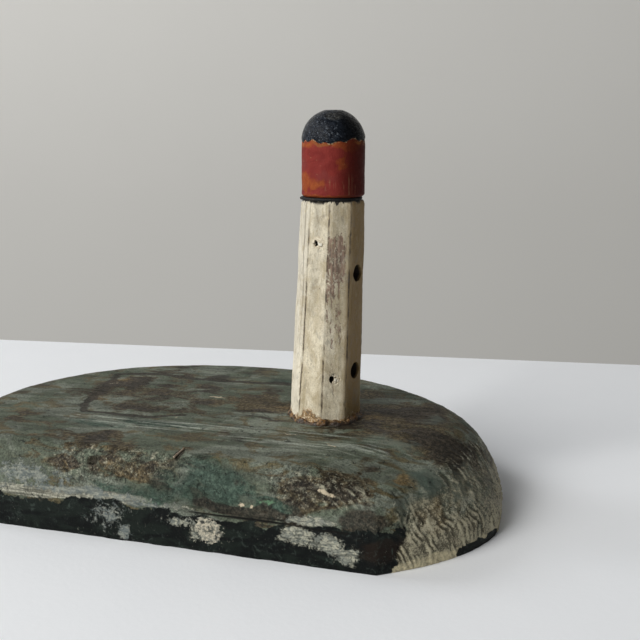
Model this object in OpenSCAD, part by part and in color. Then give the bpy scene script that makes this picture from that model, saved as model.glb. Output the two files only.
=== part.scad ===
// Carved wooden harbour light: an eight-sided tower with a bullet-shaped
// lantern, standing on an oval island carved from one board.
// Millimetres, +Z up. The origin is on the ground under the middle of the base.
// +X runs along the board towards the tower, +Y towards the rounded back.

/* [Base] */
// Length of the island base
base_len = 244; // [210:1:280]
// Width of the board that the base is carved from
base_w = 140; // [125:1:155]
// Thickness of the board
base_t = 35; // [30:1:42]
// Height of the sawn edge left along the straight front
rim_h = 16; // [10:1:20]
// Height of the thin edge left around the carved ends and back
end_rim_h = 3; // [2:0.5:6]

/* [Tower] */
// How far the tower stands to the right of the middle of the base
tower_x = 45; // [20:1:60]
// Height of the tower without the lantern
tower_h = 92; // [70:1:120]
// Width across the corners at the foot
tower_foot_d = 31; // [26:0.2:36]
// Width across the corners at the top
tower_top_d = 27; // [22:0.2:30]
// Distance by which the top has been carved over to one side
tower_lean = 3.3; // [0:0.1:5]
// Diameter of the two drilled windows
window_d = 7; // [5:0.5:9]
// Diameter of the two broken cross pegs
peg_d = 4.6; // [3:0.2:6]

/* [Lantern] */
// Diameter of the turned lantern
lantern_d = 26; // [20:0.2:30]
// Height of the lantern with its dome
lantern_h = 34.4; // [28:0.2:40]
// Diameter of the dowel that the lantern sits on
pin_d = 6.35; // [5:0.05:8]
// Diameter of the thin gallery disc under the lantern
disc_d = 26; // [22:0.2:28]
// Thickness of the gallery disc
disc_t = 1.3; // [0.8:0.1:2]

/* [Hidden] */

// Plan of the base: a rounded oval about a point in front of the middle,
// cut straight along the front
half_len = base_len / 2;
plan_y = -0.13 * base_w;
front_reach = base_w / 2 + plan_y;
back_reach = base_w / 2 - plan_y;
front_curve = 80;
// Inset of the flat top from the outer edge, at each side
top_inset_front = 9;
top_inset_back = 2;
top_inset_right = 26;
top_inset_left = 20;
// How far the top falls away at the right front corner, and where that starts
corner_fall = 6;
corner_start = 74;
corner_run = 34;
// Corner directions of the tower in plan, anticlockwise, cut by eye
corner_angles = [10, 55, 100, 145, 190, 239, 280, 320];
face_ratio = cos(22.5);
lean_angle = 17;
tower_top_z = base_t + tower_h;
axis_x = tower_x + tower_lean * cos(lean_angle);
axis_y = tower_lean * sin(lean_angle);
// Windows face right, pegs face the front
window_angle = -15;
window_heights = [21.5, 62.5];
window_deep = 9;
window_shift = 0.4;
upper_peg_angle = -100;
upper_peg_height = 75.5;
lower_peg_angle = -60;
lower_peg_height = 19.5;
peg_hole_deep = 9;
peg_recess = 0.8;
// Screw driven up through the base into the tower
screw_d = 4.5;
screw_head_d = 8.6;
screw_head_h = 2.6;
screw_slot = 1.2;
screw_reach = 24;
screw_tip_h = 6;
counterbore_d = 10;
counterbore_h = 12;
// Dowel sockets and running clearances
pin_in_tower = 14;
pin_in_lantern = 11;
pin_gap = 0.1;
pin_chamfer = 0.6;
disc_shift = 0.7;
lantern_gap = 0.1;
lantern_z = tower_top_z + disc_t + lantern_gap;
lantern_edge = 1.2;
lantern_flat_d = 6.4;
glue_h = 1.8;
glue_spread = 2.4;
filler_deep = 1;
brad_d = 0.9;
brad_len = 6.6;

function smooth(t) = let (u = min(1, max(0, t))) u * u * (3 - 2 * u);

function oval(th, reach_x, reach_y, power) =
    pow(pow(abs(cos(th)) / reach_x, power) + pow(abs(sin(th)) / reach_y, power), -1 / power);

// Distance from the plan's centre to the outer edge in direction th
function edge_r(th) = sin(th) < 0
    ? min(oval(th, half_len, front_curve, 1.75), -front_reach / sin(th))
    : oval(th, half_len, back_reach, 2.65);

// Distance from the plan's centre to the rim of the flat top
function top_r(th) =
    let (reach = half_len - (cos(th) < 0 ? top_inset_left : top_inset_right))
    sin(th) < 0
    ? min(oval(th, reach, front_curve, 2.2), (top_inset_front - front_reach) / sin(th))
    : min(oval(th, reach, back_reach - top_inset_back, 2.15), edge_r(th) - top_inset_back);

function rim_at(th) =
    let (out = -edge_r(th) * sin(th))
    end_rim_h + (rim_h - end_rim_h) * smooth((out - front_reach + 13) / 10);

// Height of the worn top over a point of the plan
function top_z(x, y) =
    base_t - corner_fall * smooth((0.83 * x - 0.56 * y - corner_start) / corner_run);

function plan_point(th, r, z) = [r * cos(th), plan_y + r * sin(th), z];

function top_point(th, share) =
    let (r = share * top_r(th), p = plan_point(th, r, 0))
    [p[0], p[1], top_z(p[0], p[1])];

// A point on the carved side, from the top (t = 0) down to the outer edge (t = 1)
function side_point(th, t) =
    let (r = top_r(th) + (edge_r(th) - top_r(th)) * t,
         p = plan_point(th, r, 0),
         low = rim_at(th))
    [p[0], p[1], low + (top_z(p[0], p[1]) - low) * sqrt(1 - t * t)];

module island_block() {
    around = 96;
    angles = [for (i = [0:around - 1]) i * 360 / around];
    inner = [0.35, 0.7];
    outer = [0, 0.35, 0.6, 0.78, 0.9, 0.97, 1];
    rings = concat(
        [for (share = inner) [for (th = angles) top_point(th, share)]],
        [for (t = outer) [for (th = angles) side_point(th, t)]],
        [[for (th = angles) plan_point(th, edge_r(th), 0)]]);
    last = len(rings) - 1;
    points = concat([[0, plan_y, top_z(0, plan_y)]], [for (ring = rings) each ring]);
    cap = [for (i = [0:around - 1]) [0, 1 + (i + 1) % around, 1 + i]];
    skin = [for (k = [0:last - 1], i = [0:around - 1])
        let (a = 1 + k * around + i, b = 1 + k * around + (i + 1) % around)
        each [[a, b, b + around], [a, b + around, a + around]]];
    floor_face = [[for (i = [0:around - 1]) 1 + last * around + i]];
    polyhedron(points = points, faces = concat(cap, skin, floor_face), convexity = 4);
}

// Lumps of old filler pressed into the sawn front edge
module filler_lump(x, z, w, h) {
    outline = [[-0.5, -0.2], [-0.1, -0.5], [0.35, -0.4], [0.5, 0.1], [0.2, 0.5], [-0.3, 0.4]];
    translate([x, filler_deep - base_w / 2, z])
        rotate([90, 0, 0])
            linear_extrude(filler_deep)
                polygon([for (p = outline) [p[0] * w, p[1] * h]]);
}

module filler_lumps() {
    filler_lump(20, 11.4, 8, 4.6);
    filler_lump(19.4, 4.4, 6.4, 5);
    filler_lump(25.6, 8, 3.6, 4.4);
    filler_lump(9, 10.4, 4.4, 3.4);
}

module island_base() {
    color("darkslategray")
    difference() {
        island_block();
        filler_lumps();
        translate([tower_x, 0, -1]) cylinder(h = base_t + 2, d = screw_d + 0.1, $fn = 48);
        translate([tower_x, 0, -1]) cylinder(h = counterbore_h + 1, d = counterbore_d, $fn = 48);
        brad_shape(0.05);
    }
}

module edge_filler() {
    color("wheat") filler_lumps();
}

// The eight-sided tapered shaft, solid
module tower_block() {
    foot = [for (a = corner_angles)
        [tower_x + tower_foot_d / 2 * cos(a), tower_foot_d / 2 * sin(a), base_t]];
    head = [for (a = corner_angles)
        [axis_x + tower_top_d / 2 * cos(a), axis_y + tower_top_d / 2 * sin(a), tower_top_z]];
    walls = [for (i = [0:7])
        let (j = (i + 1) % 8)
        each [[8 + i, 8 + j, j], [8 + i, j, i]]];
    polyhedron(points = concat(foot, head),
               faces = concat([[for (i = [0:7]) 15 - i]], walls, [[for (i = [0:7]) i]]));
}

// Puts its children on the tower's axis at a height, pointing out at an angle
module on_tower(angle, height) {
    share = height / tower_h;
    translate([tower_x + (axis_x - tower_x) * share, axis_y * share, base_t + height])
        rotate([0, 90, angle])
            children();
}

function face_distance(height) =
    face_ratio * (tower_foot_d + (tower_top_d - tower_foot_d) * height / tower_h) / 2;

module tower_hole(angle, height, d, deep, shift = 0) {
    start = face_distance(height) - deep;
    on_tower(angle, height) translate([0, shift, start]) cylinder(h = deep + 4, d = d, $fn = 48);
}

module tower_shaft() {
    color("antiquewhite")
    difference() {
        tower_block();
        for (height = window_heights)
            tower_hole(window_angle, height, window_d, window_deep, window_shift);
        tower_hole(upper_peg_angle, upper_peg_height, peg_d, peg_hole_deep);
        tower_hole(lower_peg_angle, lower_peg_height, peg_d, peg_hole_deep);
        translate([tower_x, 0, base_t - 1])
            cylinder(h = screw_reach + 1.5, d = screw_d + 0.1, $fn = 48);
        translate([axis_x, axis_y, tower_top_z - pin_in_tower - 0.3])
            cylinder(h = pin_in_tower + 2, d = pin_d + pin_gap, $fn = 64);
    }
}

// Slotted round-head wood screw with a gimlet point
module foot_screw() {
    seat = counterbore_h - screw_head_h;
    shank_h = base_t - counterbore_h + screw_reach - screw_tip_h;
    color("dimgray")
    translate([tower_x, 0, 0]) {
        difference() {
            union() {
                translate([0, 0, seat])
                    cylinder(h = 1, d1 = screw_head_d - 1.6, d2 = screw_head_d, $fn = 48);
                translate([0, 0, seat + 1])
                    cylinder(h = screw_head_h - 1, d = screw_head_d, $fn = 48);
            }
            translate([-screw_head_d, -screw_slot / 2, seat - 1])
                cube([2 * screw_head_d, screw_slot, 2.2]);
        }
        translate([0, 0, counterbore_h]) cylinder(h = shank_h, d = screw_d, $fn = 48);
        translate([0, 0, counterbore_h + shank_h])
            cylinder(h = screw_tip_h, d1 = screw_d, d2 = 1, $fn = 48);
    }
}

module foot_glue() {
    color("sienna")
    difference() {
        translate([tower_x, 0, base_t])
            cylinder(h = glue_h, d1 = tower_foot_d + 2 * glue_spread, d2 = tower_foot_d + 0.6,
                     $fn = 48);
        tower_block();
    }
}

module broken_peg(angle, height) {
    start = face_distance(height) - peg_hole_deep;
    color("tan")
    on_tower(angle, height)
        translate([0, 0, start])
            cylinder(h = peg_hole_deep - peg_recess, d = peg_d - 0.1, $fn = 48);
}

module upper_peg() {
    broken_peg(upper_peg_angle, upper_peg_height);
}

module lower_peg() {
    broken_peg(lower_peg_angle, lower_peg_height);
}

module gallery_disc() {
    color("black")
    translate([0, 0, tower_top_z])
        difference() {
            translate([axis_x - disc_shift, axis_y - disc_shift / 3, 0])
                cylinder(h = disc_t, d = disc_d, $fn = 72);
            translate([axis_x, axis_y, -1])
                cylinder(h = disc_t + 2, d = pin_d + 0.6, $fn = 48);
        }
}

// Dowel with both ends chamfered
module lantern_pin() {
    pin_h = pin_in_tower + disc_t + lantern_gap + pin_in_lantern;
    body_h = pin_h - 2 * pin_chamfer;
    end_d = pin_d - 2 * pin_chamfer;
    color("burlywood")
    translate([axis_x, axis_y, tower_top_z - pin_in_tower]) {
        cylinder(h = pin_chamfer, d1 = end_d, d2 = pin_d, $fn = 64);
        translate([0, 0, pin_chamfer]) cylinder(h = body_h, d = pin_d, $fn = 64);
        translate([0, 0, pin_chamfer + body_h])
            cylinder(h = pin_chamfer, d1 = pin_d, d2 = end_d, $fn = 64);
    }
}

module lantern() {
    r = lantern_d / 2;
    dome_z = lantern_h - sqrt(r * r - pow(lantern_flat_d / 2, 2));
    dome_end = asin(sqrt(r * r - pow(lantern_flat_d / 2, 2)) / r);
    edge_steps = 6;
    dome_steps = 24;
    profile = concat(
        [[0, 0]],
        [for (i = [0:edge_steps])
            let (a = -90 + 90 * i / edge_steps)
            [r - lantern_edge + lantern_edge * cos(a), lantern_edge + lantern_edge * sin(a)]],
        [for (i = [0:dome_steps])
            let (a = dome_end * i / dome_steps)
            [r * cos(a), dome_z + r * sin(a)]],
        [[0, lantern_h]]);
    color("firebrick")
    translate([axis_x, axis_y, lantern_z])
        difference() {
            rotate_extrude($fn = 72) polygon(profile);
            translate([0, 0, -1])
                cylinder(h = pin_in_lantern + 1.3, d = pin_d + pin_gap, $fn = 64);
        }
}

// A headless wire brad lying half sunk where the top meets the front slope
module brad_shape(extra) {
    translate([5.4, plan_y - 43.5, base_t - 0.25])
        rotate([0, 77, 78])
            translate([0, 0, -brad_len / 2 - extra])
                cylinder(h = brad_len + 2 * extra, d = brad_d + 2 * extra, $fn = 24);
}

module brad() {
    color("saddlebrown") brad_shape(0);
}

island_base();
edge_filler();
tower_shaft();
foot_screw();
foot_glue();
upper_peg();
lower_peg();
gallery_disc();
lantern_pin();
lantern();
brad();
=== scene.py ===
"""Looks of the carved wooden harbour light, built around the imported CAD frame.

Shapes are worked out in millimetres, in the frame of the CAD model, and turned
into metres when a mesh is made.
"""

import math

import bpy
import numpy as np
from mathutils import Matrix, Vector


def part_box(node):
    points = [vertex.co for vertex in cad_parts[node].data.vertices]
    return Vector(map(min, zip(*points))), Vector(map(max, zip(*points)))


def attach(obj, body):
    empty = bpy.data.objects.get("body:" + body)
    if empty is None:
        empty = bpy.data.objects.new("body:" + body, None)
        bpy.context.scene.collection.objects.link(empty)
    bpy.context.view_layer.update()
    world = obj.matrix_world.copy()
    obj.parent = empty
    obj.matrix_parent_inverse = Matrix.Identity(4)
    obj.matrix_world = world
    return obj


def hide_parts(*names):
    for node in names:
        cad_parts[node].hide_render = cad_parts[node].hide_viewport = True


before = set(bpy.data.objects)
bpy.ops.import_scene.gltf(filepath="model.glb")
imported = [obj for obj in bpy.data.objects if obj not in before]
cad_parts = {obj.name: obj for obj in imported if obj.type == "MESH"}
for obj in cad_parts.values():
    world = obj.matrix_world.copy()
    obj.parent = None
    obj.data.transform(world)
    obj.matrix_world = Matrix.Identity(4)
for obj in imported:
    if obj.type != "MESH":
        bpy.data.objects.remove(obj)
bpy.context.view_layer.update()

MM = 0.001


def box_mm(node):
    """Lowest and highest corner of a CAD node, in millimetres."""
    low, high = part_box(node)
    return np.array(low) / MM, np.array(high) / MM


BASE_LOW, BASE_HIGH = box_mm("island_base")
TOWER_HIGH = box_mm("tower_shaft")[1]
LANTERN_LOW, LANTERN_HIGH = box_mm("lantern")
SCREW_LOW, SCREW_HIGH = box_mm("foot_screw")
PIN_LOW, PIN_HIGH = box_mm("lantern_pin")
DISC_LOW, DISC_HIGH = box_mm("gallery_disc")
BRAD_LOW, BRAD_HIGH = box_mm("brad")

HALF_LEN = BASE_HIGH[0]
BASE_W = BASE_HIGH[1] - BASE_LOW[1]
FRONT_Y = BASE_LOW[1]
TOP_Z = BASE_HIGH[2]
TOWER_TOP = TOWER_HIGH[2]
TOWER_H = TOWER_TOP - TOP_Z
FOOT_AXIS = (SCREW_LOW[:2] + SCREW_HIGH[:2]) / 2
HEAD_AXIS = (LANTERN_LOW[:2] + LANTERN_HIGH[:2]) / 2


# ---------------------------------------------------------------- noise

def smooth(t):
    """Smooth step of t clamped to 0..1."""
    t = np.clip(t, 0, 1)
    return t * t * (3 - 2 * t)


def cell_value(cells, seed):
    """A fixed random value from -1 to 1 for each whole-number cell."""
    h = cells[..., 0] * 73856093 ^ cells[..., 1] * 19349663 ^ cells[..., 2] * 83492791
    h = (h ^ (seed * 40503 + 977)) & 0xFFFFFFFF
    h = ((h ^ (h >> 15)) * 2246822519) & 0xFFFFFFFF
    h = ((h ^ (h >> 13)) * 3266489917) & 0xFFFFFFFF
    return ((h ^ (h >> 16)) & 0xFFFF) / 32767.5 - 1


def noise(p, size, seed=0):
    """Value noise of points p, from -1 to 1, with features of this size (a number or x, y, z)."""
    q = np.asarray(p, float) / size
    cell = np.floor(q).astype(np.int64)
    f = q - cell
    w = f * f * f * (f * (f * 6 - 15) + 10)
    total = np.zeros(len(q))
    for corner in range(8):
        step = np.array([corner & 1, corner >> 1 & 1, corner >> 2 & 1])
        weight = np.prod(np.where(step, w, 1 - w), axis=1)
        total += weight * cell_value(cell + step, seed)
    return total


def fractal(p, size, octaves, seed=0):
    """Several octaves of noise, each half the size and strength of the last."""
    total = np.zeros(len(p))
    size = np.asarray(size, float)
    for k in range(octaves):
        total += noise(p, size / 2 ** k, seed + 17 * k) / 2 ** k
    return total


def spot(p, centre, size):
    """1 at the centre of an oval patch, 0 at its edge, and less outside."""
    d = (p - np.asarray(centre, float)) / np.asarray(size, float)
    return 1 - np.sqrt((d * d).sum(axis=1))


def spots(p, patches):
    """The strongest of several oval patches, each a centre, a size and a strength."""
    return np.maximum.reduce([spot(p, centre, size) * strength for centre, size, strength in patches])


def groove(distance, width):
    """1 on a line and 0 beyond its width, for signed distances from the line."""
    return smooth(1 - np.abs(distance) / width)


# ---------------------------------------------------------------- meshes

def ring_quads(rows, columns):
    """Quads between rows of points, each row a closed ring of columns points."""
    i = np.arange(rows - 1)[:, None]
    j = np.arange(columns)[None, :]
    a = i * columns + j
    b = i * columns + (j + 1) % columns
    return np.stack([a, b, b + columns, a + columns], axis=-1).reshape(-1, 4)


def fan(centre, ring):
    """Triangles from a centre point to a ring of points."""
    return [(centre, ring[k], ring[(k + 1) % len(ring)]) for k in range(len(ring))]


def end_caps(rows, around, base=0):
    """Fans that close the first and the last ring, from two centre points after the rings."""
    first = list(range(base, base + around))
    last = [base + (rows - 1) * around + k for k in range(around)]
    centre = base + rows * around
    return fan(centre, first[::-1]) + fan(centre + 1, last)


def closing_wall(quads, rows, around):
    """Quads that join the last ring to the first."""
    last = (rows - 1) * around
    start, end = quads[:around, 0], quads[:around, 1]
    return np.stack([start + last, end + last, end, start], axis=1)


def make_mesh(name, points, faces):
    """A smooth-shaded mesh object from points in millimetres and a list of faces."""
    mesh = bpy.data.meshes.new(name)
    mesh.from_pydata((np.asarray(points) * MM).tolist(), [], faces)
    mesh.validate()
    mesh.polygons.foreach_set("use_smooth", [True] * len(mesh.polygons))
    mesh.update()
    piece = bpy.data.objects.new(name, mesh)
    bpy.context.scene.collection.objects.link(piece)
    return piece


def points_of(piece):
    """The piece's vertices in millimetres."""
    co = np.zeros(len(piece.data.vertices) * 3, np.float32)
    piece.data.vertices.foreach_get("co", co)
    return co.reshape(-1, 3).astype(float) / MM


def normals_of(piece):
    """The piece's vertex normals."""
    n = np.zeros(len(piece.data.vertices) * 3, np.float32)
    piece.data.vertex_normals.foreach_get("vector", n)
    return n.reshape(-1, 3).astype(float)


def set_points(piece, points):
    """Moves the piece's vertices to these points in millimetres."""
    piece.data.vertices.foreach_set("co", (points * MM).astype(np.float32).ravel())
    piece.data.update()


def set_field(piece, name, values):
    """Stores one number for each vertex, which a material reads by name."""
    field = piece.data.attributes.new(name, "FLOAT", "POINT")
    field.data.foreach_set("value", np.asarray(values, np.float32))


def lathe(name, profile, around, centre):
    """A solid of revolution about a vertical axis, from a profile of radius and height rows."""
    angles = np.arange(around) * 2 * math.pi / around
    rows = []
    for radius, height in profile[1:-1]:
        ring = np.stack([radius * np.cos(angles), radius * np.sin(angles), 0 * angles + height], axis=1)
        rows.append(ring)
    points = np.concatenate(rows + [[[0, 0, profile[0][1]]], [[0, 0, profile[-1][1]]]])
    points[:, :2] += centre
    count = len(rows)
    faces = ring_quads(count, around).tolist() + end_caps(count, around)
    return make_mesh(name, points, faces)


def rod(name, start, direction, length, radius, around=32, rings=2):
    """A closed round bar from a start point, in millimetres."""
    along = np.asarray(direction, float) / np.linalg.norm(direction)
    side = np.cross([0, 0, 1.0], along)
    side = side / np.linalg.norm(side)
    up = np.cross(along, side)
    angles = np.arange(around) * 2 * math.pi / around
    circle = np.cos(angles)[:, None] * side + np.sin(angles)[:, None] * up
    start = np.asarray(start, float)
    shares = np.linspace(0, 1, rings)
    rows = [start + along * length * share + circle * radius for share in shares]
    points = np.concatenate(rows + [[start], [start + along * length]])
    faces = ring_quads(rings, around).tolist() + end_caps(rings, around)
    return make_mesh(name, points, faces)


def cut(piece, cutters):
    """Subtracts the cutter objects from the piece and removes them."""
    for cutter in cutters:
        tool = piece.modifiers.new("cut", "BOOLEAN")
        tool.operation = "DIFFERENCE"
        tool.solver = "EXACT"
        tool.object = cutter
    depsgraph = bpy.context.evaluated_depsgraph_get()
    result = bpy.data.meshes.new_from_object(piece.evaluated_get(depsgraph))
    piece.modifiers.clear()
    piece.data = result
    for cutter in cutters:
        bpy.data.objects.remove(cutter)


# ---------------------------------------------------------------- materials

class Paint:
    """Builds one node material whose patterns are laid out in millimetres."""

    def __init__(self, name):
        self.material = bpy.data.materials.new(name)
        self.material.use_nodes = True
        self.nodes = self.material.node_tree.nodes
        self.links = self.material.node_tree.links
        self.shader = self.nodes["Principled BSDF"]
        self.place = self.nodes.new("ShaderNodeTexCoord").outputs["Object"]

    def add(self, kind, settings, *values):
        """A node with these settings, its first inputs set or linked, and its first output."""
        node = self.nodes.new(kind)
        for key, value in settings.items():
            setattr(node, key, value)
        for socket, value in zip(node.inputs, values):
            self.put(socket, value)
        return node

    def put(self, socket, value):
        """Links or sets one socket; None leaves it alone."""
        if isinstance(value, bpy.types.NodeSocket):
            self.links.new(value, socket)
        elif value is not None:
            socket.default_value = value

    def math(self, operation, a, b=0.0):
        return self.add("ShaderNodeMath", {"operation": operation}, a, b).outputs[0]

    def times(self, a, b):
        return self.math("MULTIPLY", a, b)

    def plus(self, a, b):
        return self.math("ADD", a, b)

    def minus(self, a, b):
        return self.math("SUBTRACT", a, b)

    def field(self, name):
        """A number stored on the mesh."""
        return self.add("ShaderNodeAttribute", {"attribute_name": name}).outputs["Fac"]

    def noise(self, size, detail=3.0, rough=0.55, warp=0.0, shift=0.0):
        """Noise around 0 to 1 with features of this size in mm, a number or x, y, z."""
        sizes = size if isinstance(size, (tuple, list)) else (size,) * 3
        mapping = self.add("ShaderNodeMapping", {}, self.place)
        mapping.inputs["Location"].default_value = (shift, shift * 0.7, shift * 1.3)
        mapping.inputs["Scale"].default_value = [1 / (MM * s) for s in sizes]
        node = self.add("ShaderNodeTexNoise", {}, mapping.outputs[0])
        node.inputs["Scale"].default_value = 1.0
        node.inputs["Detail"].default_value = detail
        node.inputs["Roughness"].default_value = rough
        node.inputs["Distortion"].default_value = warp
        return node.outputs["Fac"]

    def step(self, value, low, high, out_low=0.0, out_high=1.0):
        """Smooth ramp of a value between low and high."""
        node = self.add("ShaderNodeMapRange", {"interpolation_type": "SMOOTHSTEP"}, value, low, high)
        node.inputs["To Min"].default_value = out_low
        node.inputs["To Max"].default_value = out_high
        return node.outputs[0]

    def swing(self, noise, amount):
        """A noise moved to swing about 0, and scaled."""
        return self.times(self.minus(noise, 0.5), amount)

    def ragged(self, name, grit, amount, low, high):
        """A stored field broken up by a noise, then turned into a mask."""
        return self.step(self.plus(self.field(name), self.swing(grit, amount)), low, high)

    def mix(self, share, a, b):
        """Colour b over colour a."""
        node = self.add("ShaderNodeMix", {"data_type": "RGBA"})
        self.put(node.inputs[0], share)
        self.put(node.inputs[6], (*a, 1) if isinstance(a, tuple) else a)
        self.put(node.inputs[7], (*b, 1) if isinstance(b, tuple) else b)
        return node.outputs[2]

    def over(self, under, mask, share, paint):
        """Paint over a colour, where the mask is and with this much cover."""
        return self.mix(self.times(mask, share), under, paint)

    def scaled(self, colour, share):
        """A colour made lighter or darker by a number."""
        node = self.add("ShaderNodeVectorMath", {"operation": "SCALE"}, colour)
        self.put(node.inputs["Scale"], share)
        return node.outputs[0]

    def bumps(self, *layers):
        """A normal from layers of height and depth in millimetres."""
        normal = None
        for height, depth in layers:
            node = self.add("ShaderNodeBump", {})
            node.inputs["Distance"].default_value = depth * MM
            self.put(node.inputs["Height"], height)
            if normal is not None:
                self.put(node.inputs["Normal"], normal)
            normal = node.outputs[0]
        return normal

    def finish(self, colour, roughness, normal, **uniform):
        """Connects the shader; uniform values go straight onto its sockets."""
        self.put(self.shader.inputs["Base Color"], colour)
        self.put(self.shader.inputs["Roughness"], roughness)
        self.put(self.shader.inputs["Normal"], normal)
        for name, value in uniform.items():
            self.shader.inputs[name.replace("_", " ")].default_value = value
        return self.material


def dress(piece, material, body, slot, *replaced):
    """Gives a finished piece its material and body, and hides the CAD nodes it stands for. The slot is not
    used.
    """
    piece.data.materials.clear()
    piece.data.materials.append(material)
    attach(piece, body)
    if replaced:
        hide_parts(*replaced)


# ---------------------------------------------------------------- island base

# Plan and profile, as part.scad carves them
PLAN_Y = -0.13 * BASE_W
FRONT_REACH = PLAN_Y - FRONT_Y
BACK_REACH = BASE_HIGH[1] - PLAN_Y
FRONT_CURVE = 80
TOP_INSET_FRONT = 9
TOP_INSET_BACK = 2
TOP_INSET_RIGHT = 26
TOP_INSET_LEFT = 20
RIM_H = 16
END_RIM_H = 3
CORNER_FALL = 6
CORNER_START = 74
CORNER_RUN = 34
COUNTERBORE_R = 5
COUNTERBORE_H = SCREW_LOW[2] + 2.6
# How far in from the edge the paint ends on the underside, and the width of the counterbore's lip
PAINT_TURN_IN = 2
LIP = 0.5


def oval(th, reach_x, reach_y, power):
    """Radius of a superellipse in direction th."""
    across = np.abs(np.cos(th)) / reach_x
    deep = np.abs(np.sin(th)) / reach_y
    return (across ** power + deep ** power) ** (-1 / power)


def edge_r(th):
    """Distance from the plan's centre to the outer edge."""
    forward = np.maximum(-np.sin(th), 1e-6)
    front = np.minimum(oval(th, HALF_LEN, FRONT_CURVE, 1.75), FRONT_REACH / forward)
    return np.where(np.sin(th) < 0, front, oval(th, HALF_LEN, BACK_REACH, 2.65))


def top_r(th):
    """Distance from the plan's centre to the rim of the flat top."""
    reach = HALF_LEN - np.where(np.cos(th) < 0, TOP_INSET_LEFT, TOP_INSET_RIGHT)
    forward = np.maximum(-np.sin(th), 1e-6)
    front = np.minimum(oval(th, reach, FRONT_CURVE, 2.2), (FRONT_REACH - TOP_INSET_FRONT) / forward)
    back = np.minimum(oval(th, reach, BACK_REACH - TOP_INSET_BACK, 2.15), edge_r(th) - TOP_INSET_BACK)
    return np.where(np.sin(th) < 0, front, back)


def rim_at(th):
    """Height of the sawn edge."""
    out = -edge_r(th) * np.sin(th)
    return END_RIM_H + (RIM_H - END_RIM_H) * smooth((out - FRONT_REACH + 13) / 10)


def top_z(x, y):
    """Height of the worn top, which falls away at the right front corner."""
    return TOP_Z - CORNER_FALL * smooth((0.83 * x - 0.56 * y - CORNER_START) / CORNER_RUN)


def disc_lattice(rings):
    """A square lattice wrapped into a disc: each point's ring and turn (0 to 1), and the quads."""
    side = np.arange(-rings, rings + 1)
    i, j = np.meshgrid(side, side, indexing="ij")
    ring = np.maximum(np.abs(i), np.abs(j))
    steps = np.select([i == ring, j == ring, i == -ring], [j, 2 * ring - i, 4 * ring - j], 6 * ring + i)
    turn = (steps / (8 * np.maximum(ring, 1))) % 1
    index = np.arange(i.size).reshape(i.shape)
    quads = np.stack([index[:-1, :-1], index[1:, :-1], index[1:, 1:], index[:-1, 1:]], axis=-1)
    return ring.ravel(), turn.ravel(), quads.reshape(-1, 4)


def even_directions(turn):
    """Directions that space points evenly along the outer edge."""
    th = np.linspace(0, 2 * math.pi, 3601)
    edge = np.stack([edge_r(th) * np.cos(th), edge_r(th) * np.sin(th)], axis=1)
    run = np.concatenate([[0], np.cumsum(np.linalg.norm(np.diff(edge, axis=0), axis=1))])
    return np.interp(turn, run / run[-1], th)


TOP_RINGS, SIDE_RINGS, RIM_RINGS = 74, 56, 20


def island_points(ring, th):
    """Points of the undisturbed island, and how far each is down the side (0 to 1)."""
    on_top = np.clip(ring / TOP_RINGS, 0, 1)
    down = np.clip((ring - TOP_RINGS) / SIDE_RINGS, 0, 1)
    rim = np.clip((ring - TOP_RINGS - SIDE_RINGS) / RIM_RINGS, 0, 1)
    inner, outer = top_r(th), edge_r(th)
    r = inner * on_top + (outer - inner) * np.sin(down * math.pi / 2)
    x = r * np.cos(th)
    y = PLAN_Y + r * np.sin(th)
    low = rim_at(th)
    z = (low + (top_z(x, y) - low) * np.cos(down * math.pi / 2)) * (1 - rim)
    return np.stack([x, y, z], axis=1), down


def right_end(p):
    """1 on the gouged right end, fading to 0 towards the front and the top."""
    around = np.arctan2(p[:, 1] - PLAN_Y, p[:, 0] - 20)
    front_limit = smooth((around + 0.95) / 0.3)
    back_limit = smooth((1.35 - around) / 0.4)
    return front_limit * back_limit * smooth((p[:, 0] - 50) / 14)


def gouges(p, down):
    """Scalloped marks of the rasp that run down the right end, -1 in a valley to 1 on a crest."""
    around = np.arctan2(p[:, 1] - PLAN_Y, p[:, 0] - 20)
    pitch = 2.5
    wander = 92 * around + 0.45 * p[:, 2] + 3.0 * noise(p, 15, 5)
    across = wander + 1.3 * noise(p, 5, 6) + 0.5 * noise(p, 2, 7)
    wave = across / pitch
    saw = wave - np.floor(wave)
    crest = np.where(saw < 0.72, saw / 0.72, (1 - saw) / 0.28)
    strength = np.clip(0.55 + 0.95 * fractal(p, (5, 5, 7), 2, 8), 0.0, 1.3)
    strength *= 0.35 + 1.05 * smooth((18 - p[:, 2]) / 7) * smooth((p[:, 2] - 1.5) / 3)
    return (2 * crest - 1) * strength * right_end(p) * smooth(down * 7 - 0.6)


def slope_marks(p):
    """Slanting strokes of the rasp on the front slope at the right, -1 in a valley to 1 on a crest."""
    across = 0.64 * p[:, 0] + 0.77 * p[:, 2] + 0.9 * noise(p, 5, 24) + 0.4 * noise(p, 1.8, 25)
    wave = across / 2.2
    saw = wave - np.floor(wave)
    crest = np.where(saw < 0.65, saw / 0.65, (1 - saw) / 0.35)
    patches = np.clip(0.6 + 0.9 * noise(p, (5, 5, 4), 26), 0, 1.2)
    return (2 * crest - 1) * patches * smooth(1.8 * spot(p, (73, -65, 27.5), (15, 11, 8)))


def plough_lines(p):
    """Fine lines along the board on the top."""
    along = noise(p, (38, 1.5, 60), 21) + 0.7 * noise(p, (22, 0.8, 60), 22)
    return along


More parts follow.
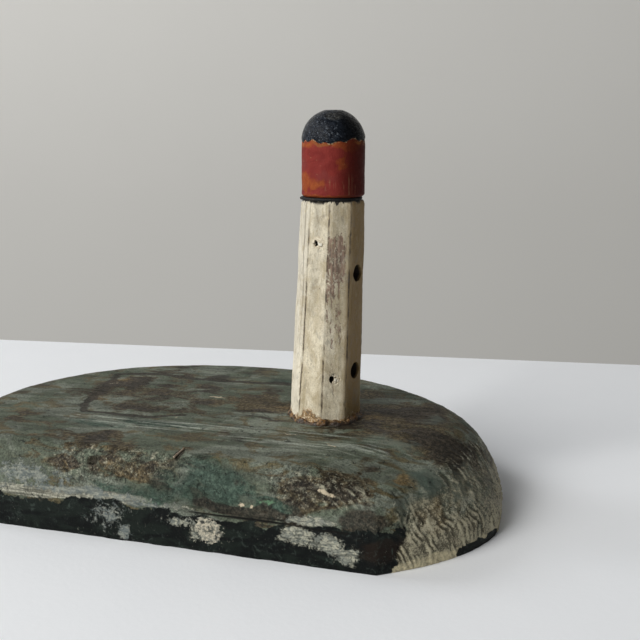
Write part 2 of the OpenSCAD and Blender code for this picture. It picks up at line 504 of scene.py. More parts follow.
def pitting(p):
    """Where the side is rough and pitted, 0 to 1."""
    near_hole = spot(p, (-31, -66, 27), (22, 14, 13))
    mid_left = spot(p, (-8, -64, 30), (26, 10, 9))
    mid_right = spot(p, (60, -64, 28), (28, 13, 10))
    end_low = spot(p, (90, -52, 14), (30, 26, 14))
    zones = np.maximum.reduce([near_hole * 1.3, mid_left, mid_right * 1.2, end_low])
    return smooth(1.6 * zones + 0.25 * noise(p, 6, 31))


def crack_height(x):
    """Height of the split that runs along the top of the front rim."""
    return 15.1 - 0.9 * smooth((x - 45) / 32)


def striations(p, down):
    """Fine upright scratches of the rasp above the gouges, -1 to 1."""
    around = np.arctan2(p[:, 1] - PLAN_Y, p[:, 0] - 20)
    across = 92 * around - 0.8 * p[:, 2] + 1.0 * noise(p, 6, 9)
    along = np.hypot(p[:, 0] - 20, p[:, 1] - PLAN_Y) - p[:, 2] + 60
    scratch = np.stack([across, 0 * across, along], axis=1)
    lines = noise(scratch, (0.9, 1, 4.5), 10) + 0.4 * noise(scratch, (2.1, 1, 8), 18)
    patches = np.clip(0.65 + 0.8 * noise(p, 7, 20), 0.1, 1.2)
    band = smooth((p[:, 2] - 8) / 8) * smooth((34.5 - p[:, 2]) / 5) * smooth((around + 0.70) / 0.25)
    return lines * patches * right_end(p) * smooth(down * 5) * band


def rim_end(p):
    """Distance in x by which a point is short of the ragged end of the black rim."""
    return 89.5 + 0.3 * p[:, 2] - p[:, 0] + 1.6 * fractal(p, 3.4, 2, 72)


def black_rim(p):
    """1 on the black paint at the right end of the front rim, 0 beyond it."""
    height = smooth((15.5 - p[:, 2] + 1.2 * noise(p, 3, 74)) / 1.5)
    return height * smooth(rim_end(p) / 1.2) * smooth((-54 - p[:, 1]) / 4)


def split_line(p):
    """Depth share of the split along the rim, and of the finer lines beside it."""
    on_front = smooth((FRONT_Y + 5 - p[:, 1]) / 3)
    reach = smooth((p[:, 0] - 8) / 9) * smooth((78 - p[:, 0]) / 5)
    wander = 0.22 * noise(p, 9, 41)
    off = p[:, 2] - crack_height(p[:, 0]) - wander
    main = groove(off, 0.75)
    fine = 0.6 * groove(off + 1.7, 0.5) + 0.8 * groove(off - 1.5, 0.45) + 0.3 * groove(off + 2.8, 0.4)
    broken = smooth((0.35 + noise(p, (7, 9, 1.0), 42)) / 0.3)
    return on_front * reach * main, on_front * reach * fine * broken * smooth((p[:, 0] - 14) / 10)


HOUSE_MARK = [(-57, -25), (-62, -16), (-73, 35), (-53, 41), (-26, 37), (14, 40)]
HOUSE_FRONT = [(-57, -25), (-27, -25), (-13, -18)]


def distance_to_path(p, path):
    """Distance in plan from each point to a run of straight pieces."""
    best = np.full(len(p), 1e9)
    for start, end in zip(path[:-1], path[1:]):
        a, b = np.array(start, float), np.array(end, float)
        share = np.clip(((p[:, :2] - a) @ (b - a)) / ((b - a) @ (b - a)), 0, 1)
        near = a + share[:, None] * (b - a)
        best = np.minimum(best, np.linalg.norm(p[:, :2] - near, axis=1))
    return best


def house_marks(p, down):
    """Ghost left by a building that once stood on the top: its dark outline, 0 to 1."""
    wobble = p + 0.9 * np.stack([noise(p, 8, 51), noise(p, 8, 52), 0 * p[:, 0]], axis=1)
    outline = groove(distance_to_path(wobble, HOUSE_MARK), 3.4)
    front = groove(distance_to_path(wobble, HOUSE_FRONT), 2.2)
    return np.maximum(outline * 0.8, front) * (down <= 0.05)


BRAD_PLACE = (BRAD_LOW + BRAD_HIGH) / 2


def island_relief(p, down):
    """Height of the surface detail in millimetres, at each point."""
    side = smooth(down * 6)
    flat = 1 - side
    height = 0.22 * fractal(p, 26, 2, 11)
    height += flat * 0.10 * plough_lines(p)
    height += side * 0.13 * fractal(p, 3.2, 2, 12)
    height += 0.05 * noise(p, 1.1, 17)
    height += pitting(p) * 0.22 * fractal(p, 1.9, 2, 13)
    pits = smooth((noise(p, 1.5, 14) - 0.40) / 0.25) * pitting(p)
    height -= 0.28 * pits
    height += (0.50 * gouges(p, down) + 0.26 * striations(p, down)) * (1 - black_rim(p))
    height += 0.34 * slope_marks(p)
    main, fine = split_line(p)
    height -= 0.75 * main + 0.3 * fine
    height -= 0.16 * house_marks(p, down)
    hole = smooth(1.4 * spot(p, (-29, -67, 30), (2.6, 2.6, 2.2)))
    height -= 1.5 * hole
    height += 0.35 * smooth(1.5 * spot(p, (-31.5, -66, 28), (3.5, 3, 2.5))) * noise(p, 1.7, 15)
    trench = smooth(2.2 * spot(p, BRAD_PLACE, (1.5, 4.2, 3)))
    height -= 0.3 * trench
    slit = smooth(3 * spot(p, (25, -35, TOP_Z), (0.6, 1.6, 3)))
    height -= 0.5 * slit
    arris = groove(p[:, 2] - 16.3 - 0.3 * noise(p, 7, 16), 1.0)
    front = smooth((FRONT_Y + 4 - p[:, 1]) / 2) * smooth((16 - p[:, 0]) / 8)
    height += 0.22 * arris * front
    foot = smooth(1.35 - np.linalg.norm(p[:, :2] - FOOT_AXIS, axis=1) / 15)
    return height * (1 - 0.85 * foot * flat)


def island_mesh():
    """The island with its carved surface and a counterbored screw hole underneath."""
    rings = TOP_RINGS + SIDE_RINGS + RIM_RINGS
    ring, turn, quads = disc_lattice(rings)
    th = even_directions(turn)
    points, down = island_points(ring, th)
    outer = np.flatnonzero(ring == rings)
    outer = outer[np.argsort(turn[outer])]
    edge = points[outer]
    toward = edge[:, :2] - FOOT_AXIS
    toward /= np.linalg.norm(toward, axis=1)[:, None]
    toward = np.column_stack([toward, np.zeros(len(outer))])
    under = [edge - PAINT_TURN_IN * toward]
    under += [[*FOOT_AXIS, 0] + reach * toward for reach in (COUNTERBORE_R + LIP, COUNTERBORE_R)]
    under.append(under[-1] + [0, 0, COUNTERBORE_H])
    count = len(points)
    around = len(outer)
    rows = [outer] + [count + k * around + np.arange(around) for k in range(len(under))]
    centre_id = count + len(under) * around
    faces = quads.tolist()
    for near, far in zip(rows[:-1], rows[1:]):
        faces += np.stack([near, far, np.roll(far, -1), np.roll(near, -1)], axis=1).tolist()
    faces += fan(centre_id, rows[-1][::-1].tolist())
    centre = [[*FOOT_AXIS, COUNTERBORE_H]]
    piece = make_mesh("island", np.concatenate([points, *under, centre]), faces)

    skin = np.arange(count)
    lift = island_relief(points, down)
    normal = normals_of(piece)
    whole = points_of(piece)
    moved = whole[skin] + normal[skin] * (lift * (1 - (ring == rings)))[:, None]
    moved[:, 2] = np.maximum(moved[:, 2], 0)
    whole[skin] = moved
    edge_wear = 0.35 * fractal(edge, 9, 3, 19)
    outward = edge[:, :2] - [0, PLAN_Y]
    outward /= np.linalg.norm(outward, axis=1)[:, None]
    whole[outer, :2] += outward * np.minimum(edge_wear - 0.2, 0.1)[:, None]
    set_points(piece, whole)
    paint_island(Skin(piece, points, down, lift))
    return piece


class Skin:
    """The island's painted points, for the fields below.

    flat holds them before the relief is added, down is their share of the way down the side,
    lift is their relief, and drifted holds them shifted by noise, so that patches get ragged outlines.
    """

    def __init__(self, piece, points, down, lift):
        self.piece = piece
        self.flat = points
        self.down = down
        self.lift = lift
        self.wander = fractal(points, (11, 20, 9), 3, 61)
        drift = [noise(points, (9, 16, 7), seed) + 0.45 * noise(points, (3.4, 6, 3), seed + 3)
                 for seed in (62, 63, 64)]
        self.drifted = points + np.stack(drift, axis=1) * [2.6, 2.6, 1.7]

    def store(self, name, values):
        """Keeps a value for each painted point, and 0 for the underside."""
        full = np.zeros(len(self.piece.data.vertices))
        full[:len(values)] = values
        set_field(self.piece, name, full)


def store_old_paint(skin):
    """Stores the green, brown and sooty layers, with painted shade round the brad, and returns the green
    one.
    """
    p, flat_p, wander = skin.drifted, skin.flat, skin.wander
    green = spots(p, [
        ((21, -68, 26), (24, 12, 11), 1.1), ((-12, -70, 20), (26, 8, 5.5), 0.9),
        ((46, -69, 22), (9, 5, 2.8), 1.8), ((-42, -38, TOP_Z), (22, 5, 9), 1),
        ((-16, -31, TOP_Z), (26, 5, 9), 1), ((97, -44, 28), (9, 10, 6), 0.6),
        ((44, -69.5, 23.5), (7, 5, 2.4), 2.2), ((20, 46, TOP_Z), (40, 9, 9), 0.6),
    ])
    skin.store("green", np.clip(green + 0.3 * wander, -1, 2))

    brown = np.maximum.reduce([
        spots(p, [
            ((-34, -57, 33), (48, 13, 9), 1.2), ((62, -65, 28), (28, 12, 9), 1.5),
            ((-12, -66, 29), (34, 9, 6), 1.3), ((88, -14, 34), (32, 20, 11), 1.8),
            ((112, -6, 24), (12, 20, 9), 0.8), ((72, 8, TOP_Z), (38, 30, 9), 2.0),
            ((58, 34, TOP_Z), (26, 12, 9), 1.1), ((64, -60, 16), (22, 12, 6), 1.2),
            ((-40, 10, TOP_Z), (42, 36, 9), 0.9), ((-70, -42, 28), (32, 20, 12), 1),
            ((12, 6, TOP_Z), (36, 20, 9), 1.5),
        ]),
        spots(flat_p, [
            ((85, -66, 9), (14, 9, 9), 1.4),
        ]),
    ])
    skin.store("brown", np.clip(brown + 0.45 * wander, -1, 2))

    dark = np.maximum.reduce([
        spots(p, [
            ((14, -5, TOP_Z), (12, 3.2, 9), 1.4), ((24, -13, TOP_Z), (26, 2.4, 9), 1),
            ((-40, 6, TOP_Z), (40, 34, 9), 0.50), ((-44, 22, TOP_Z), (22, 7, 9), 1),
            ((-18, 16, TOP_Z), (12, 5, 9), 1), ((96, -14, 32), (26, 14, 10), 1.7),
            ((108, -12, 27), (13, 16, 9), 1.4), ((-6, -62, 32), (30, 8, 4), 0.7),
            ((80, 10, TOP_Z), (24, 18, 9), 1.3), ((-34, 4, TOP_Z), (20, 14, 9), 0.9),
            ((-12, 22, TOP_Z), (16, 8, 9), 0.8), ((62, -6, TOP_Z), (16, 12, 9), 0.9),
            ((-24, -58, 33), (34, 6, 6), 0.7), ((64, -64, 28), (24, 9, 7), 1.0),
            ((-30, -66, 28), (10, 8, 6), 1), ((35, -69.5, 18.2), (22, 6, 3.4), 2.8),
            ((80, -66, 12), (14, 9, 5), 1.2), ((79, -67, 20), (9, 6, 6), 1.1),
        ]),
        spots(flat_p, [
            ((80, -69.5, 19), (14, 7, 6), 2.2),
        ]),
        house_marks(flat_p, skin.down) * 1.5,
        # Painted shade in the groove round the brad
        smooth(2.2 * spot(flat_p, BRAD_PLACE, (1.6, 4.5, 3))) * 1.2,
    ])
    skin.store("dark", np.clip(dark + 0.40 * wander, -1, 2))
    return green


def store_streaks(skin):
    """Stores the pale lines of the plane along the top."""
    p, flat_p = skin.drifted, skin.flat
    side = smooth(skin.down * 5)
    streak = plough_lines(flat_p)
    band = np.maximum(spot(p, (42, -36, TOP_Z), (52, 17, 9)), spot(p, (-24, -33, TOP_Z), (48, 11, 9)))
    band = np.clip(0.25 + 1.2 * band, 0.08, 1)
    skin.store("streak", (1 - side) * band * streak)
    skin.store("band", (1 - side) * band)


def store_rim_paint(skin):
    """Stores the black paint on the sawn edge, ragged along its top and short of the right end.

    Returns the height of its top, and how bare of it each point is.
    """
    p, flat_p = skin.drifted, skin.flat
    x, y, z = flat_p.T
    brim = 15.2 - 1.6 * smooth((-20 - x) / 40) - 0.8 * smooth(-np.abs(x - 30) / 25 + 1)
    ragged = 2.3 * fractal(p, (6, 6, 5), 3, 71)
    low_rim = rim_at(np.arctan2(y - PLAN_Y, x))
    end_line = rim_end(flat_p) / 1.2
    shoulder = brim + 1.6 * smooth((x - 68) / 10)
    on_rim = np.minimum(shoulder - z + ragged, end_line)
    around_back = (low_rim + 0.6 - z) * 1.2 + 1.1 * noise(p, 4, 73)
    black = np.where((y < FRONT_Y + 11) | (x > 60) & (y < -30), on_rim, around_back)
    remnant = smooth((3.6 - z + 1.0 * noise(p, 2.5, 75)) / 1.2) * smooth((x - 109 + noise(p, 3, 76)) / 2)
    remnant = 3 * remnant * smooth((-20 - y) / 3) - 0.3
    bare_end = (x > 60) & (y > -50 - 0.5 * (x - 88)) & (y < 10)
    black = np.where(bare_end, remnant, np.maximum(black, remnant))
    skin.store("black", np.clip(black * 0.4, -1, 1))
    cover = 1 - smooth(black / 0.8)
    return brim, cover


def store_bare_patches(skin, cover):
    """Stores the patches worn down to grey-white primer, cream and pale wood."""
    p, wander = skin.drifted, skin.wander
    x, y, z = skin.flat.T
    pale = spots(p, [
        ((-22, -70, 10), (8.5, 6, 6), 1.0), ((-16, -70, 5.5), (5, 6, 5), 0.85),
        ((8.5, -70, 11.2), (6.5, 6, 2.6), 1.2), ((59, -70, 17.8), (12, 6, 3.0), 2.6),
        ((54, -70, 11.4), (8, 6, 3.4), 1.5), ((66, -70, 10), (9, 6, 3.6), 1.5),
        ((73, -69, 6.4), (7, 6, 5), 1.6), ((-30, -70, 18), (44, 6, 2.6), 1.1),
        ((-54, -69, 22), (24, 8, 5), 0.9), ((19, -70, 7.5), (8, 6, 5.5), 1.1),
        ((-4, -70, 16.6), (26, 6, 1.6), 1.1),
    ])
    skin.store("pale", np.clip(pale + 0.35 * fractal(p, 4.2, 3, 81), -1, 2))

    strip = (4.6 - z + 1.0 * noise(p, 4, 82)) / 2 * smooth((x - 86) / 3) * cover
    chips = spots(p, [
        ((32, -70, 21.4), (3.0, 3, 1.3), 1), ((36, -70, 21.2), (1.9, 3, 1.4), 1),
        ((64, -67, 27.5), (5.5, 4, 1.4), 0.8), ((59, -37, TOP_Z), (4, 1.4, 3), 1),
        ((40, -28, TOP_Z), (4.5, 1.6, 3), 0.7), ((-9.5, 9, TOP_Z), (7, 1.3, 3), 0.9),
        ((-15, -19, TOP_Z), (1.8, 1.3, 3), 1), ((-66, 19, TOP_Z), (4, 2.2, 3), 0.8),
    ])
    skin.store("cream", np.clip(chips + 0.30 * fractal(p, 1.8, 2, 83) * smooth(0.1 + 2 * chips), -1, 2))
    skin.store("strip", np.clip(strip - 0.6 * (strip < 0.05), -1, 1.2))
    wash = 0.16 + 0.44 * smooth((28 - z) / 6) + 0.72 * smooth((20 - z) / 15)
    wash *= right_end(p) * smooth((x - 85) / 11) * cover
    wash *= 1 - 0.6 * smooth(2 * spot(p, (97, -46, 27), (12, 12, 9)))
    wash *= 1 - 0.20 * smooth((y + 44) / 30)
    skin.store("wash", wash * np.clip(0.85 + 0.5 * wander, 0, 1.3) - 0.4 * (1 - smooth(4 * wash)))


def store_tints(skin, green):
    """Stores the coarse skin and the sage, cool, leaf green and ochre tints."""
    p, flat_p, wander = skin.drifted, skin.flat, skin.wander
    x, z = flat_p[:, 0], flat_p[:, 2]
    side = smooth(skin.down * 5)
    coarse = np.maximum.reduce([pitting(flat_p), 0.75 * right_end(p) * smooth((26 - z) / 12),
                                0.35 * side, 0.22 + 0.50 * spot(p, (-38, 8, TOP_Z), (40, 32, 9))])
    coarse = coarse * (1 - 0.6 * smooth(1.5 * spot(p, (94, -14, 33), (30, 24, 10))))
    skin.store("coarse", np.clip(coarse - 0.8 * smooth(green + 0.2), 0.10, 1))
    sage = spots(p, [
        ((96, -57, 24), (10, 10, 7), 1.0), ((98, -44, 27), (11, 13, 8), 1.1),
        ((106, -38, 20), (12, 14, 9), 0.8), ((80, -26, 34.3), (15, 8, 6), 1.0),
        ((94, 5, TOP_Z), (12, 7, 6), 0.6), ((116, -24, 18), (9, 20, 12), 1.0),
    ])
    skin.store("sage", np.clip(sage + 0.3 * wander, -1, 2))
    skin.store("cool", smooth((14 - x) / 20))
    leaf = spot(p, (44, -69.4, 22.9), (6.5, 5, 1.7)) + 0.3 * fractal(p, 2.4, 2, 84)
    skin.store("leaf", np.clip(leaf, -1, 1))

    ochre = spots(p, [
        ((91, -51, 28.5), (5, 7, 6), 1.5), ((101, -54, 18), (8, 8, 8), 1.9),
        ((-65, 22, TOP_Z), (9, 6, 9), 1), ((64, 22, TOP_Z), (7, 4, 9), 0.6),
        ((-24, -66, 27), (20, 8, 5), 0.6), ((34, 6, TOP_Z), (18, 12, 9), 0.8),
        ((82, 4, TOP_Z), (22, 14, 9), 0.55), ((66, 4, TOP_Z), (16, 9, 9), 0.6),
        ((-56, -4, TOP_Z), (10, 8, 9), 0.5),
    ])
    skin.store("ochre", np.clip(ochre + 0.3 * wander, -1, 2))


def store_carving(skin, brim, cover):
    """Stores the split, the carved relief, the scratches and the ledge above the rim."""
    flat_p, down, wander = skin.flat, skin.down, skin.wander
    x, y, z = flat_p.T
    front = smooth((FRONT_Y + 6 - y) / 3)
    main, fine = split_line(flat_p)
    skin.store("crack", np.maximum(main, 0.8 * fine))
    calm = skin.lift - 0.22 * fractal(flat_p, 26, 2, 11) - 0.08 * gouges(flat_p, down)
    skin.store("relief", np.clip(calm, -1, 1))
    skin.store("scratch", striations(flat_p, down) * cover * smooth((31 - z) / 7))
    ledge = smooth((z - brim + 0.8) / 1.6) * smooth((brim + 5.5 - z) / 3)
    ledge *= smooth((6 - x) / 26) * front + 0.4 * smooth((4 - np.abs(x - 4)) / 12)
    skin.store("ledge", ledge * (1 + 0.35 * wander) - 0.5 * (1 - smooth(3 * ledge)))
    skin.store("pitted", pitting(flat_p))
    total = len(skin.piece.data.vertices)
    set_field(skin.piece, "under", np.arange(total) >= len(flat_p))


def paint_island(skin):
    """Stores every layer of old paint."""
    green = store_old_paint(skin)
    store_streaks(skin)
    brim, cover = store_rim_paint(skin)
    store_bare_patches(skin, cover)
    store_tints(skin, green)
    store_carving(skin, brim, cover)


# Colours of the old paint
GREY_GREEN = (0.088, 0.104, 0.076)
SLATE = (0.140, 0.156, 0.126)
OLIVE = (0.092, 0.078, 0.042)
PALE_LINE = (0.300, 0.325, 0.280)
FADED_LINE = (0.185, 0.208, 0.174)
DARK_LINE = (0.034, 0.031, 0.024)
# Crests rubbed pale with painted highlight, and valleys dirty with painted shade
RUBBED_AND_LIT_CREST = (0.270, 0.258, 0.192)
VALLEY_DIRT_AND_SHADE = (0.026, 0.022, 0.016)
PALE_SPECK = (0.270, 0.265, 0.200)
DARK_POCK = (0.018, 0.016, 0.012)
PALE_SCRATCH = (0.360, 0.355, 0.280)
DARK_SCRATCH = (0.030, 0.026, 0.018)
RUSTY_BLACK = (0.0150, 0.0090, 0.0058)
RIM_SCUFF = (0.062, 0.082, 0.070)
RIM_NICK = (0.20, 0.20, 0.165)
CHALK_SCRAPE = (0.085, 0.092, 0.080)
CHALK_GRIT = (0.034, 0.040, 0.034)
BLUE_CHALK = (0.105, 0.138, 0.150)
CRACK_BLACK = (0.006, 0.006, 0.005)
OLD_BOARD_STAIN = (0.045, 0.036, 0.025)


def island_old_paint(m):
    """Grey-green over slate and olive, with umber, teal, ochre and soot in their places, and painted shade
    round the brad.
    """
    colour = m.mix(m.step(m.big, 0.45, 0.56), GREY_GREEN, SLATE)
    colour = m.mix(m.step(m.mid, 0.49, 0.60), colour, OLIVE)
    umber = m.mix(m.step(m.fine, 0.42, 0.58), (0.034, 0.024, 0.012), (0.100, 0.077, 0.042))
    colour = m.over(colour, m.ragged("brown", m.mid, 3.2, 0.10, 0.65), 0.92, umber)
    teal = m.mix(m.step(m.fine, 0.42, 0.60), (0.024, 0.047, 0.036), (0.056, 0.092, 0.070))
    colour = m.over(colour, m.ragged("green", m.mid, 2.0, 0.05, 0.55), 0.86, teal)
    earth = m.mix(m.step(m.fine, 0.42, 0.60), (0.110, 0.068, 0.024), (0.205, 0.138, 0.056))
    colour = m.over(colour, m.ragged("ochre", m.mid, 1.8, 0.1, 0.7), 0.78, earth)
    # Soot, and painted shade round the brad
    soot = m.mix(m.step(m.fine, 0.42, 0.60), (0.016, 0.014, 0.011), (0.046, 0.038, 0.029))
    return m.over(colour, m.ragged("dark", m.mid, 2.6, 0.15, 0.7), 0.88, soot)


def island_streaks(m, colour):
    """Pale and dark lines of the plane, along the board."""
    thread = m.times(m.minus(m.lines, 0.5), m.plus(m.field("band"), 0.02))
    streak = m.step(m.plus(m.field("streak"), m.times(thread, 5.0)), 0.16, 0.9)
    colour = m.over(colour, streak, 0.82, PALE_LINE)
    faded = m.times(m.step(m.brush, 0.50, 0.62), m.step(m.field("band"), 0.10, 0.8, 0.0, 0.9))
    colour = m.over(colour, faded, 0.55, FADED_LINE)
    gone = m.plus(m.times(thread, -5.0), m.times(m.field("streak"), -0.6))
    return m.over(colour, m.step(gone, 0.16, 0.7), 0.42, DARK_LINE)


def island_wear(m, colour, coarse):
    """Paint rubbed pale with a painted highlight on crests, dirt and painted shade in valleys, and specks
    and pocks where the skin is coarse.
    """
    # Crests: rubbed paint and painted highlight
    crest = m.step(m.plus(m.field("relief"), m.times(m.grit, 0.12)), 0.08, 0.40)
    colour = m.mix(m.times(crest, m.times(coarse, 0.85)), colour, RUBBED_AND_LIT_CREST)
    # Valleys: dirt and painted shade
    valley = m.step(m.minus(m.times(m.grit, 0.08), m.field("relief")), 0.10, 0.36)
    colour = m.mix(m.times(valley, m.plus(m.times(coarse, 0.6), 0.2)), colour, VALLEY_DIRT_AND_SHADE)
    speck = m.step(m.noise(0.9, 3, 0.7, 0.3, 17), 0.55, 0.66)
    share = m.plus(m.times(m.field("pitted"), 0.44), m.times(coarse, 0.10))
    colour = m.mix(m.times(speck, share), colour, PALE_SPECK)
    pock = m.step(m.noise(1.0, 3, 0.7, 0.3, 19), 0.56, 0.66)
    return m.mix(m.times(pock, m.plus(m.times(coarse, 0.60), 0.10)), colour, DARK_POCK)


def island_tones(m, colour, coarse):
    """The ledge, scratches, light and dark mottling, and the sage and leaf green patches."""
    shelf = m.mix(m.step(m.lines, 0.42, 0.60), (0.140, 0.140, 0.112), (0.390, 0.384, 0.310))
    colour = m.over(colour, m.ragged("ledge", m.mid, 2.4, 0.05, 0.60), 0.88, shelf)
    scratched = m.times(m.field("scratch"), m.step(m.grit, 0.38, 0.62, 0.4, 1.6))
    colour = m.over(colour, m.step(scratched, 0.04, 0.40), 0.66, PALE_SCRATCH)
    colour = m.over(colour, m.step(scratched, -0.15, -0.60), 0.45, DARK_SCRATCH)
    rough_tone = m.step(m.mottle, 0.40, 0.60, 0.66, 1.34)
    rough_tone = m.times(rough_tone, m.step(m.grit, 0.40, 0.60, 0.62, 1.36))
    calm_tone = m.step(m.brush, 0.40, 0.60, 0.76, 1.28)
    calm_tone = m.times(calm_tone, m.step(m.grit, 0.40, 0.60, 0.82, 1.20))
    spread = m.times(m.minus(rough_tone, calm_tone), coarse)
    colour = m.scaled(colour, m.plus(calm_tone, spread))
    sage = m.mix(m.step(m.brush, 0.42, 0.60), (0.088, 0.112, 0.094), (0.150, 0.180, 0.146))
    colour = m.over(colour, m.ragged("sage", m.mid, 2.0, 0.10, 0.75), 0.62, sage)
    leaf = m.mix(m.fine, (0.075, 0.150, 0.088), (0.150, 0.270, 0.160))
    return m.over(colour, m.ragged("leaf", m.mottle, 1.2, 0.25, 0.55), 0.85, leaf)


def island_rim_paint(m, colour, black):
    """Black on the sawn edge, rusty in places, scuffed and nicked."""
    ink = m.mix(m.step(m.mid, 0.44, 0.60), (0.0030, 0.0042, 0.0040), (0.0080, 0.0120, 0.0095))
    ink = m.mix(m.times(m.ragged("brown", m.mid, 2.4, 0.2, 0.8), 0.75), ink, RUSTY_BLACK)
    colour = m.mix(black, colour, ink)
    scuff = m.times(black, m.step(m.noise((3.4, 2.2, 4), 5, 0.75, 1.2, 13), 0.54, 0.72))
    colour = m.over(colour, scuff, 0.62, RIM_SCUFF)
    nick = m.times(black, m.step(m.noise((0.9, 0.9, 1.6), 3, 0.7, 0.8, 23), 0.67, 0.73))
    return m.over(colour, nick, 0.7, RIM_NICK)


def island_bare_patches(m, colour, pale):
    """Chalky primer, the washed right end, cream chips, the bare strip, the split and the underside."""
    chalk = m.mix(m.step(m.mottle, 0.42, 0.58), (0.235, 0.248, 0.214), (0.480, 0.470, 0.370))
    scrape = m.noise((4.5, 1.6, 0.9), 4, 0.72, 0.6, 27)
    chalk = m.over(chalk, m.step(scrape, 0.46, 0.60), 0.75, CHALK_SCRAPE)
    chalk = m.over(chalk, m.step(m.grit, 0.52, 0.64), 0.80, CHALK_GRIT)
    chalk = m.over(chalk, m.field("cool"), 0.50, BLUE_CHALK)
    colour = m.over(colour, pale, 0.86, chalk)
    bared = m.step(m.plus(m.grit, m.times(m.field("relief"), 0.7)), 0.36, 0.62)
    bared = m.mix(bared, (0.120, 0.106, 0.074), (0.500, 0.455, 0.320))
    colour = m.over(colour, m.ragged("wash", m.mottle, 2.0, 0.10, 0.90), 0.80, bared)
    primer = m.mix(m.fine, (0.62, 0.51, 0.36), (0.40, 0.355, 0.26))
    colour = m.mix(m.ragged("cream", m.fine, 1.5, 0.40, 0.62), colour, primer)
    wood = m.mix(m.step(m.fine, 0.42, 0.60), (0.62, 0.55, 0.36), (0.40, 0.36, 0.25))
    colour = m.over(colour, m.ragged("strip", m.mottle, 1.4, 0.1, 0.7), 0.85, wood)
    colour = m.mix(m.step(m.field("crack"), 0.25, 0.75), colour, CRACK_BLACK)
    board = m.mix(m.step(m.lines, 0.40, 0.60), (0.075, 0.053, 0.032), (0.170, 0.125, 0.078))
    board = m.over(board, m.step(m.mid, 0.50, 0.62), 0.6, OLD_BOARD_STAIN)
    return m.mix(m.field("under"), colour, board)


def island_material():
    """Layers of old grey-green paint over black, cream primer and brown wood."""
    m = Paint("weathered_island_paint")
    m.big = m.noise((30, 26, 14), 4, 0.55, 0.8)
    m.mid = m.noise((13, 8, 5), 5, 0.60, 0.8, 3)
    m.fine = m.noise(1.5, 3, 0.6, 0.2, 5)
    m.grit = m.noise(0.75, 3, 0.7, 0, 7)
    m.lines = m.noise((20, 1.6, 1.4), 5, 0.62, 0.3, 9)
    m.brush = m.noise((24, 5, 5), 5, 0.60, 0.5, 25)
    m.mottle = m.noise((2.8, 3.0, 2.1), 5, 0.70, 0.9, 15)
    flaking = m.noise(2.2, 5, 0.75, 0.8, 21)
    black = m.ragged("black", flaking, 1.5, -0.06, 0.16)
    pale = m.ragged("pale", flaking, 3.4, 0.22, 0.62)
    coarse = m.field("coarse")

    colour = island_streaks(m, island_old_paint(m))
    colour = island_wear(m, colour, coarse)
    colour = island_tones(m, colour, coarse)
    colour = island_rim_paint(m, colour, black)
    colour = island_bare_patches(m, colour, pale)
    rough = m.step(m.plus(m.mid, m.times(black, 0.15)), 0.2, 0.9, 0.66, 0.42)
    normal = m.bumps((m.lines, 0.10), (m.fine, 0.22), (m.grit, 0.12), (pale, 0.10), (black, 0.06))
    return m.finish(colour, rough, normal, Specular_IOR_Level=0.11)


def add_island():
    """The carved and painted base."""
    piece = island_mesh()
    dress(piece, island_material(), "stand", "island_paint", "island_base")


# ---------------------------------------------------------------- tower

# Corner directions in plan, as part.scad carves them
CORNERS = np.radians([10, 55, 100, 145, 190, 239, 280, 320])
TOWER_FOOT_R = 15.5
TOWER_TOP_R = 13.5
FACE_RATIO = math.cos(math.pi / 8)
ALONG_FACE = 22
TOWER_ROWS = 168
WINDOW_ANGLE = math.radians(-15)
WINDOW_HEIGHTS = (21.5, 62.5)
WINDOW_R = 3.5
WINDOW_DEEP = 9
WINDOW_SHIFT = 0.4
# Angle and height of the two broken cross pegs
PEGS = {"upper_peg": (math.radians(-100), 75.5), "lower_peg": (math.radians(-60), 19.5)}
PEG_R = 2.3
PEG_HOLE_DEEP = 9
# Heights of the worn patch's top, its foot and the foot of its tail
WORN_TOP, WORN_FOOT, WORN_TAIL = 79, 59, 49
# Size of the pieces between the hair cracks
CRACKLE_SIZE = 2.6


def tower_axis(share):
    """The tower's axis in plan, at a share of its height."""
    return FOOT_AXIS + np.multiply.outer(np.asarray(share, float), HEAD_AXIS - FOOT_AXIS)


def corner_points(share):
    """The eight corners at each share of the height, as cut by hand."""
    turn = CORNERS[None, :] + 0 * share[:, None]
    radius = TOWER_FOOT_R + (TOWER_TOP_R - TOWER_FOOT_R) * share[:, None] + 0 * turn
    places = np.stack([np.cos(turn) * 9, np.sin(turn) * 9, share[:, None] * 5 + 0 * turn], axis=-1)
    flat = places.reshape(-1, 3)
    wobble = (noise(flat, (9, 9, 1.0), 101) + 0.5 * noise(flat, (9, 9, 0.35), 102)).reshape(turn.shape)
    turn = turn + 0.022 * wobble
    turn[:, 5] -= 0.19 * smooth((share - 0.02) / 0.3)
    turn[:, 6] += 0.125 * (share - 0.45)
    turn[:, 7] += 0.03 * share
    dip = (noise(flat, (9, 9, 0.8), 103)).reshape(turn.shape)
    radius = radius + 0.16 * dip - 0.12
    axis = tower_axis(share)
    return np.stack([axis[:, :1] + radius * np.cos(turn), axis[:, 1:] + radius * np.sin(turn)], axis=-1)


